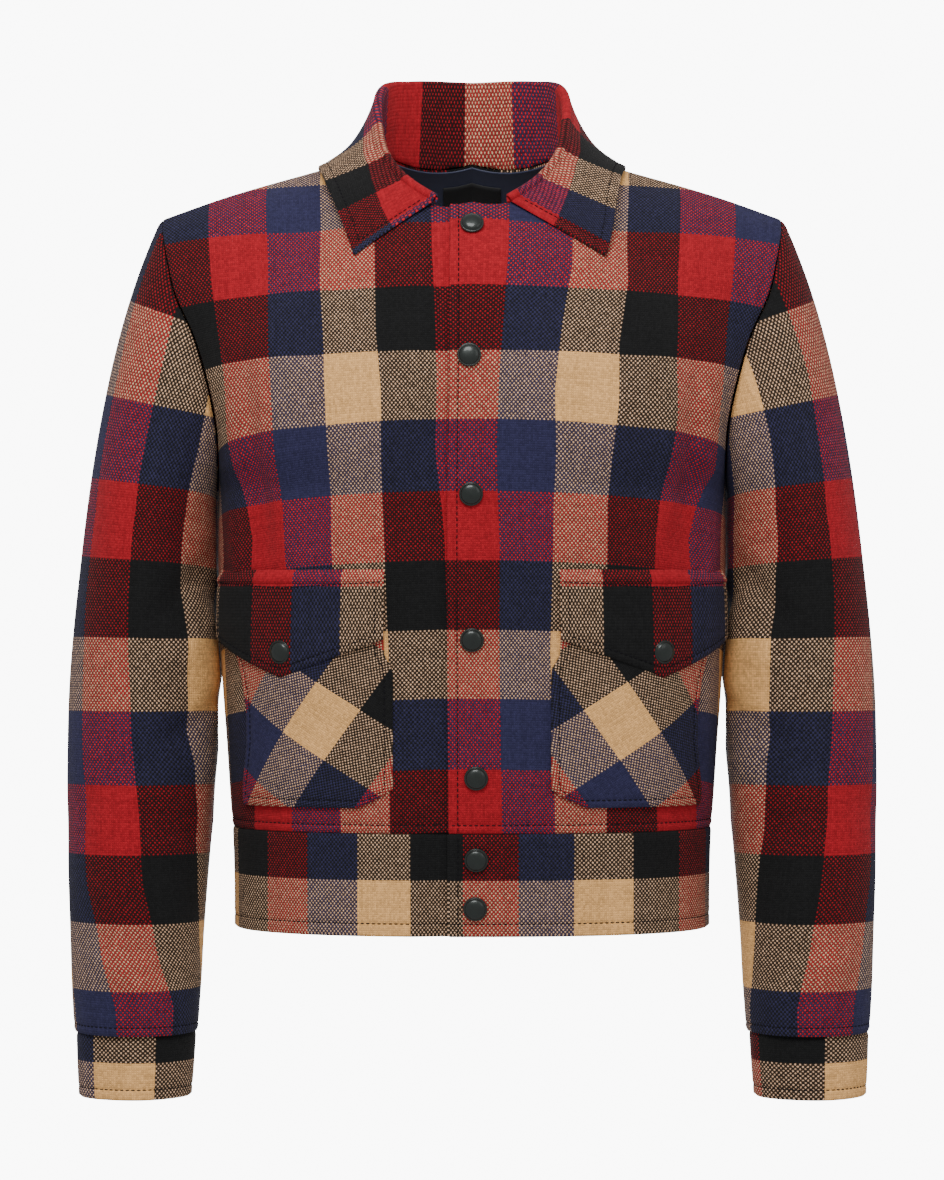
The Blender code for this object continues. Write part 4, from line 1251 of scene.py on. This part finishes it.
def sleeve_check(run, columns):
    """Cloth coordinates on a sleeve, by the length over the cuff seam."""
    table = np.array(columns)
    run = np.concatenate([run, run[:, :1]], axis=1)
    edge = np.interp(run, table[:, 0], table[:, 1])
    pitch = np.interp(run, table[:, 0], table[:, 2])
    lengths = np.array(SLEEVE_ROWS) / 1000
    slant = np.interp(run, *np.array(SLEEVE_SLANT).T)
    leaning = run + slant * (np.abs(SIGNED_TURN[None, :]) - 0.22) / 0.25
    v = np.interp(leaning, lengths, 13 - np.arange(len(lengths)))
    v = v - np.maximum(leaning - lengths[-1], 0) / ROW_PITCH
    return -(SIGNED_TURN[None, :] - edge) / pitch, v


def dress_sleeves(wool, thread):
    """The two sleeves, with their underarm seam at half a turn."""
    base = sleeve_surface()
    run = way_along(base)
    run = run[-1:] - run
    height = creases(SLEEVE_CREASES, (TURN[None, :] % 1.0) * TURN_LENGTH, -base[..., 2])
    height = height + seam(run) + dip(run[:1] - run, ARMHOLE_ROLL)
    grid = base + grid_normals(base, ring=True) * height[..., None]
    normals = grid_normals(grid, ring=True)
    inner = grid - normals * WALL
    centre = unit((grid[0].mean(axis=0) - grid[0]) * np.array([0, 1, 1]))
    inner[0] = grid[0] + centre * WALL
    row = nearest(run[:, 0], SEAM_STITCH)
    sleeves = {"sleeve_left": (1, SLEEVE_COLUMNS_LEFT), "sleeve_right": (-1, SLEEVE_COLUMNS_RIGHT)}
    for name, (side, columns) in sleeves.items():
        u, v = sleeve_check(run, columns)
        flip = mirror(side)
        piece = add_wall("cloth_" + name, grid * flip, inner * flip, u, v, wool, True, side < 0)
        line = ring_line(grid, normals, row, side)
        extra = add_stitches("stitches_" + name, [line], thread)
        finish_piece(piece, name)


def dress_cuffs(wool, thread):
    """The two cuffs, two layers folded at the lower edge."""
    depths = graded(-CUFF_SEAM + GAP, -CUFF_END, 0.003, 1.0, (-CUFF_END - SEAM_STITCH,))
    base = np.array([sleeve_ring(TURN, np.full(TURNS, d), CUFF_RINGS) for d in depths])
    row = nearest(depths, -CUFF_END - SEAM_STITCH)
    for name, side in (("cuff_left", 1), ("cuff_right", -1)):
        height = dip(depths - depths[0], SEAM_ROLL)
        height = height + dip(-CUFF_END - SEAM_STITCH - depths, GROOVE)
        height = height[:, None] + 0.0006 * np.sin(TURN * 2 * math.pi * 5 + side)[None, :]
        grid = base + grid_normals(base, ring=True) * height[..., None]
        normals = grid_normals(grid, ring=True)
        edge, pitch = CUFF_COLUMNS[name]
        u = 3 + (SIGNED_TURN - edge) / pitch
        u = np.broadcast_to(u[None, :], (len(depths), TURNS + 1))
        v = 11 + (depths + CUFF_ROW_EDGE) / ROW_PITCH
        v = np.broadcast_to(v[:, None], u.shape)
        flip = mirror(side)
        inner = (grid - normals * DOUBLE_WALL) * flip
        piece = add_wall("cloth_" + name, grid * flip, inner, u, v, wool, True, side < 0, 0.5)
        line = ring_line(grid, normals, row, side)
        extra = add_stitches("stitches_" + name, [line], thread)
        finish_piece(piece, name)


def dress_waistband(wool, thread):
    """The waistband in three lengths."""
    z = graded(HEM, WAIST_SEAM - GAP, 0.003, 1.0, (HEM + BAND_STITCH,))[:, None]
    stitched = -LAP + EDGE_STITCH / PANEL_WIDTH
    part = graded(-LAP, 1 - GAP / PANEL_WIDTH, PITCH, PANEL_WIDTH, (stitched,))
    behind = 2 - graded(0.0, 1 - GAP / PANEL_WIDTH, PITCH, PANEL_WIDTH)
    pieces = {
        "waistband_left": part,
        "waistband_right": -part[::-1],
        "waistband_back": np.concatenate([behind[::-1], -behind[1:]]),
    }
    for name, share in pieces.items():
        grid = body_ring(*np.broadcast_arrays(share[None, :], z))
        normals = grid_normals(grid)
        arc = way_along(grid, axis=1)
        middle = nearest(np.abs(share), 2.0 if "back" in name else 0.0)
        arc = arc - arc[:, middle:middle + 1]
        height = dip(z - HEM - BAND_STITCH, GROOVE) + dip(z - z[-1], SEAM_ROLL)
        height = np.broadcast_to(height, grid.shape[:2])
        if name == "waistband_right":
            sink = BAND_SINK * ease(-LAP_START, -LAP_END, share)
            grid = grid - normals * sink[None, :, None]
        grid = grid + normals * height[..., None]
        normals = grid_normals(grid)
        if "back" in name:
            u = BACK_COLUMN - arc / COLUMN_PITCH
        else:
            u = steps_between(arc, [e / 1000 for e in BAND_COLUMNS], -4)
        v = np.broadcast_to(11 + (BAND_ROW_EDGE - z) / ROW_PITCH, u.shape)
        inner = grid - normals * DOUBLE_WALL
        piece = add_wall("cloth_" + name, grid, inner, u, v, wool, bulge=0.45)
        lines = [line_at(grid, normals, row=nearest(z[:, 0], HEM + BAND_STITCH))]
        if name == "waistband_left":
            lines.append(line_at(grid, normals, column=nearest(part, stitched)))
        extra = add_stitches("stitches_" + name, lines, thread)
        finish_piece(piece, name)


def fine_collar_section(way):
    """Middle line of the collar at one station, with its lengths, and the roll's length."""
    row = smooth(COLLAR_ROWS, abs(way))
    roll = row[0:3] * mirror(way)
    edge = row[3:6] * mirror(way) + np.array([COLLAR_LEAN * ease(0.7, 1.0, abs(way)), 0, 0])
    radius, hollow = row[6:8]
    seam = neck_seam(way)
    normal = np.array(BODY.find_nearest(Vector(seam))[1])
    lying = ease(0.62, 0.95, abs(way))
    run = unit(collar_roll(way + 0.02) - collar_roll(way - 0.02))
    up = (1 - lying) * np.array([0.0, 0.0, 1.0]) + lying * normal
    up = unit(up - run * np.dot(up, run))
    out = np.cross(run, up)
    out = out * np.sign(np.dot(out, edge - roll))
    foot = seam + up * (GAP + 0.0004) - out * WALL * 0.5 * (1 - lying)
    top = roll - up * radius
    height = np.dot(top - foot, up)
    if height < 0.0006:
        top = top + up * (0.0006 - height)
    line = [foot + (top - foot) * t for t in np.linspace(0, 1, 16)]
    for angle in np.linspace(0, math.pi, 13)[1:]:
        line.append(top + radius * (out * (1 - math.cos(angle)) + up * math.sin(angle)))
    start = line[-1]
    control = (start + edge) / 2 - out * hollow
    fall = np.linalg.norm(edge - start)
    for t in graded(0, 1, 0.0032, fall, (1 - EDGE_STITCH / fall,))[1:]:
        line.append((1 - t) ** 2 * start + 2 * t * (1 - t) * control + t * t * edge)
    return np.array(line)


def dress_collar(wool, thread):
    """The collar, rolled over its stand, with its two points."""
    stitched = 1 - EDGE_STITCH / COLLAR_HALF
    ways = graded(-1, 1, 0.0030, COLLAR_HALF, (-stitched, stitched))
    sections = []
    for way in ways:
        line = fine_collar_section(way)
        fall = line[ROLL_END:]
        length = way_along(fall)
        total = length[-1]
        where = np.concatenate([np.linspace(0, total - EDGE_STITCH - 0.002, 17),
                                total - EDGE_STITCH + np.array([-0.0008, 0.0, 0.0008, 0.002]),
                                total - np.array([0.0030, 0.0018, 0.0008, 0.0])])[1:]
        sections.append(np.concatenate([line[:ROLL_END + 1], at_lengths(fall, length, where)]))
    middle = np.array(sections)
    middle[:, ROLL_TOP:] = push_off(middle[:, ROLL_TOP:], WALL / 2 + 2 * SLACK)
    normals = grid_normals(middle)
    lengths = way_along(middle, axis=1)
    from_roll = lengths - lengths[:, ROLL_TOP:ROLL_TOP + 1]
    from_edge = lengths[:, -1:] - lengths
    from_end = (1 - np.abs(ways))[:, None] * COLLAR_HALF
    past_roll = lengths > lengths[:, ROLL_END:ROLL_END + 1]
    groove = dip(from_end - EDGE_STITCH, FINE_GROOVE) * past_roll
    groove = groove + dip(from_edge - EDGE_STITCH, FINE_GROOVE)
    outer = middle + normals * (WALL / 2)
    inner = middle - normals * (WALL / 2 + groove[..., None])
    u = np.interp(ways, COLLAR_WAYS, np.arange(10, -5, -1))[:, None] + 0 * lengths
    edge = np.interp(np.abs(ways), *np.array(COLLAR_ROW_EDGE).T)[:, None]
    past = from_roll - edge
    v = 2 + np.where(past > 0, past / ROW_PITCH, past / 0.092)
    piece = add_wall("cloth_collar", outer, inner, u, v, wool, bulge=0.45)
    row = nearest(from_edge[len(ways) // 2], EDGE_STITCH)
    lines = [(inner[4:-4, row], -normals[4:-4, row])]
    for at in (-stitched, stitched):
        station = nearest(ways, at)
        fall = slice(ROLL_END + 1, row + 1)
        lines.append((inner[station, fall], -normals[station, fall]))
    extra = add_stitches("stitches_collar", lines, thread)
    finish_piece(piece, "collar")


def dress_neck(grid, normals, part, lining, label):
    """The lining inside the back of the neck, and the bare label on it."""
    columns = np.concatenate([part[::-1], -part[1:]])
    across = np.flatnonzero(np.abs(columns) < 0.296)
    rows = slice(-30, None)
    near = (grid - normals * (WALL + SLACK))[rows][:, across]
    facing = normals[rows][:, across]
    flat = np.zeros(near.shape[:2])
    piece = add_wall("cloth_neck_lining", near, near - facing * LINING_WALL, flat, flat, lining)
    finish_piece(piece, "neck_lining")
    across = np.flatnonzero(np.abs(columns) < 0.105)
    near = (grid - normals * (WALL + LINING_WALL + 2 * SLACK))[-24:-7][:, across]
    facing = normals[-24:-7][:, across]
    flat = np.zeros(near.shape[:2])
    piece = add_wall("cloth_neck_label", near, near - facing * LABEL_WALL, flat, flat, label)
    finish_piece(piece, "neck_label")


def dress_pockets(wool, thread):
    """The patch pockets, cut on the bias."""
    table = np.array(POCKET_ROWS)
    foot = table[0, 0]
    heights = graded(foot, table[-1, 0], FINE_PITCH, 1.0, (foot + PATCH_STITCH,))
    stitched = PATCH_STITCH / POCKET_WIDTH
    shares = graded(0.0, 1.0, FINE_PITCH, POCKET_WIDTH, (stitched, 1 - stitched))
    inner_arc = np.interp(heights, table[:, 0], table[:, 1])
    outer_arc = np.interp(heights, table[:, 0], table[:, 2])
    inner_arc = inner_arc + POCKET_NARROWED * ease(-0.384, -0.371, heights)
    arcs = inner_arc[:, None] + (outer_arc - inner_arc)[:, None] * shares[None, :]
    z = np.broadcast_to(heights[:, None], arcs.shape)
    top, right, left = (np.array(p) for p in POCKET_PATCH)
    frame_of_patch = np.linalg.inv(np.stack([right - top, left - top], axis=1))
    for name, side in (("pocket_left", 1), ("pocket_right", -1)):
        grid = on_front(side * arcs, z, 0.0)
        normals = grid_normals(grid) * side
        grid = push_off(grid, POCKET_SLACK)
        width = (outer_arc - inner_arc)[:, None]
        from_side = np.minimum(shares[None, :], 1 - shares[None, :]) * width
        from_foot = (heights - foot)[:, None] + 0 * arcs
        from_edge = np.minimum(from_side, from_foot)
        puff = 0.0024 * ease(0.0, 0.035, from_edge) * (0.6 + 0.4 * np.sin(arcs * 60))
        height = puff + dip(from_edge - PATCH_STITCH, EDGE_GROOVE) + dip(from_edge, POCKET_ROLL)
        outer = grid + normals * (WALL + height)[..., None]
        inner = grid + normals * (height * 0.9)[..., None]
        flat = np.stack([-arcs - top[0], z - top[1]], -1)
        steps = flat @ frame_of_patch.T
        u = 2 + steps[..., 0]
        v = 3 + steps[..., 1]
        if side > 0:
            u = 5 - u
        piece = add_wall("cloth_" + name, outer, inner, u, v, wool, flip=side < 0)
        near = nearest(shares, stitched)
        far = nearest(shares, 1 - stitched)
        row = nearest(heights, foot + PATCH_STITCH)
        facing = grid_normals(outer) * side
        lines = [
            (outer[row:, near], facing[row:, near]),
            (outer[row:, far], facing[row:, far]),
            (outer[row, near:far + 1], facing[row, near:far + 1]),
        ]
        extra = add_stitches("stitches_" + name, lines, thread)
        finish_piece(piece, name)


def dress_flaps(wool, thread):
    """The pointed flaps over the pockets, each with a stitched strip along its top."""
    side_stitch = PATCH_STITCH / FLAP_WIDTH
    across = graded(0.0, 1.0, FINE_PITCH, FLAP_WIDTH, (0.5, side_stitch, 1 - side_stitch))
    drop = FLAP_SIDE_DROP + (FLAP_POINT_DROP - FLAP_SIDE_DROP) * (1 - np.abs(2 * across - 1))
    marks = (1 - FLAP_STRIP / FLAP_MEAN_DROP, PATCH_STITCH / FLAP_MEAN_DROP)
    shares = graded(0.0, 1.0, FINE_PITCH, FLAP_MEAN_DROP, marks)
    for name, side in (("flap_left", 1), ("flap_right", -1)):
        down = (1 - shares)[:, None] * drop[None, :]
        z = FLAP_TOP - down
        arc = side * (FLAP_INNER + FLAP_WIDTH * across)[None, :] + 0 * z
        lift = SLACK + (FLAP_LIFT - SLACK) * ease(0.0, FLAP_STRIP, down)
        lift = lift + 0.0012 * ease(FLAP_STRIP, 0.05, down)
        inner = on_front(arc, z, lift)
        from_edge = np.minimum(down, drop[None, :] - down)
        from_edge = np.minimum(from_edge, np.minimum(across, 1 - across)[None, :] * FLAP_WIDTH)
        height = WALL + dip(down - FLAP_STRIP - 0.0015, STRIP_GROOVE) + dip(from_edge, FLAP_ROLL)
        strip = ease(0.0, 0.003, down) * (1 - ease(FLAP_STRIP - 0.003, FLAP_STRIP, down))
        height = height + 0.0006 * strip
        from_side = np.minimum(across, 1 - across)[None, :] * FLAP_WIDTH
        low_edge = np.minimum(drop[None, :] - down, from_side)
        height = height + dip(low_edge - PATCH_STITCH, FINE_GROOVE)
        outer = on_front(arc, z, lift + height)
        u = steps_between(arc, [e / 1000 for e in FLAP_COLUMNS], -4)
        past = FLAP_ROW_EDGE - z
        v = 6 + past / np.where(past > 0, FLAP_ROW_PITCH, ROW_PITCH)
        piece = add_wall("cloth_" + name, outer, inner, u, v, wool, flip=side < 0)
        facing = grid_normals(outer) * side
        low = nearest(shares, PATCH_STITCH / FLAP_MEAN_DROP)
        high = nearest(shares, 1 - (FLAP_STRIP + 0.0015) / FLAP_MEAN_DROP)
        near = nearest(across, side_stitch)
        far = nearest(across, 1 - side_stitch)
        lines = [line_at(outer, facing, row=high)]
        lines.append((outer[low, near:far + 1], facing[low, near:far + 1]))
        for column in (near, far):
            lines.append((outer[low:high, column], facing[low:high, column]))
        extra = add_stitches("stitches_" + name, lines, thread)
        finish_piece(piece, name)


# Profile of a dressed snap cap. Columns: share of the radius, height
CAP_PROFILE = (
    (0.985, 0.0), (1.0, 0.0003), (0.995, 0.0009), (0.96, 0.0013), (0.90, 0.0013),
    (0.87, 0.0012), (0.85, 0.0016), (0.80, 0.0023), (0.70, 0.0029), (0.55, 0.0034),
    (0.38, 0.0037), (0.20, 0.00385), (0.06, 0.0039),
)


def dress_snaps(metal):
    """The domed caps, where the plain ones are."""
    sides = 56
    for name in sorted(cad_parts):
        if not name.startswith("snap_"):
            continue
        places = np.array([vertex.co[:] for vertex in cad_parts[name].data.vertices])
        centre = places.mean(axis=0)
        spread = places - centre
        axis = np.linalg.svd(spread, full_matrices=False)[2][2]
        axis = axis * (-np.sign(axis[1]) if abs(axis[1]) > 0 else 1)
        depth = spread @ axis
        foot = places[depth < depth.min() + 1e-4].mean(axis=0)
        aside = unit(np.cross(np.array([0.0, 0.0, 1.0]), axis))
        above = np.cross(axis, aside)
        points = []
        for share, height in CAP_PROFILE:
            for step in range(sides):
                angle = 2 * math.pi * step / sides
                spoke = aside * math.cos(angle) + above * math.sin(angle)
                points.append(foot + spoke * share * SNAP_RADIUS + axis * height)
        faces = tube_faces(0, len(CAP_PROFILE), sides)
        piece = add_mesh("cap_" + name, points, faces, metal)
        finish_piece(piece, name)


def add_light(name, place, aim, size, power, colour=(1, 1, 1)):
    """A square soft light that faces a point."""
    data = bpy.data.lights.new(name, "AREA")
    data.shape = "RECTANGLE"
    data.size = size[0]
    data.size_y = size[1]
    data.energy = power
    data.color = colour
    light = bpy.data.objects.new(name, data)
    light.location = place
    light.rotation_euler = (Vector(aim) - Vector(place)).to_track_quat("-Z", "Y").to_euler()
    bpy.context.scene.collection.objects.link(light)


def add_glow(name, corners, strength):
    """A glowing four-cornered sheet of the stage."""
    material = bpy.data.materials.new(name)
    material.use_nodes = True
    nodes = material.node_tree.nodes
    glow = nodes.new("ShaderNodeEmission")
    glow.inputs["Strength"].default_value = strength
    material.node_tree.links.new(glow.outputs[0], nodes["Material Output"].inputs["Surface"])
    sheet = add_mesh(name, corners, [(0, 1, 2, 3)], material)


def set_stage():
    """Pale floor, even pale background, soft lights and the camera."""
    world = bpy.data.worlds.new("studio")
    world.use_nodes = True
    background = world.node_tree.nodes["Background"]
    background.inputs["Color"].default_value = (1.0, 1.0, 1.0, 1.0)
    background.inputs["Strength"].default_value = BACKGROUND
    bpy.context.scene.world = world
    square = ((-1, -1), (1, -1), (1, 1), (-1, 1))
    add_glow("floor", [(a * FLOOR_HALF, b * FLOOR_HALF, FLOOR) for a, b in square], BACKGROUND)
    wide, high = BACKDROP_HALVES
    corners = [(a * wide, BACKDROP_AWAY, CAMERA_HEIGHT + b * high) for a, b in square]
    add_glow("backdrop", corners, BACKDROP)
    add_light("key", (-0.25, -1.55, 1.25), (0, 0, -0.08), (1.1, 0.9), KEY_POWER)
    add_light("fill", (1.9, -1.9, 0.9), (0, 0, -0.3), (1.2, 1.6), FILL_POWER)
    data = bpy.data.cameras.new("camera")
    data.sensor_width = SENSOR
    data.lens = SENSOR * CAMERA_AWAY / (PICTURE_HEIGHT * PIXEL)
    data.clip_start = 0.05
    data.clip_end = 200.0
    camera = bpy.data.objects.new("camera", data)
    camera.location = (0.0, -CAMERA_AWAY, CAMERA_HEIGHT)
    camera.rotation_euler = (math.pi / 2, 0.0, 0.0)
    bpy.context.scene.collection.objects.link(camera)
    bpy.context.scene.camera = camera


wool = wool_material("wool_check")
bias = wool_material("wool_check_bias")
thread = plain_material("thread", (0.006, 0.005, 0.007), 0.85, 900.0, spread=0.35,
                        Specular_IOR_Level=0.12)
lining = plain_material("lining_cloth", (0.020, 0.026, 0.065), 0.55, 1500.0, 0.0001, Sheen_Weight=0.2)
label = plain_material("label_cloth", (0.012, 0.012, 0.013), 0.7, 1300.0, 0.0001)
metal = plain_material("snap_lacquer", (0.009, 0.013, 0.011), 0.34, 160.0, 0.00015, 0.45,
                       Metallic=0.55, Coat_Weight=0.25)

dress_fronts(wool, thread)
back_cloth = dress_back(wool, thread)
dress_sleeves(wool, thread)
dress_cuffs(wool, thread)
dress_waistband(wool, thread)
dress_collar(wool, thread)
dress_neck(*back_cloth, lining, label)
dress_pockets(bias, thread)
dress_flaps(wool, thread)
dress_snaps(metal)
set_stage()
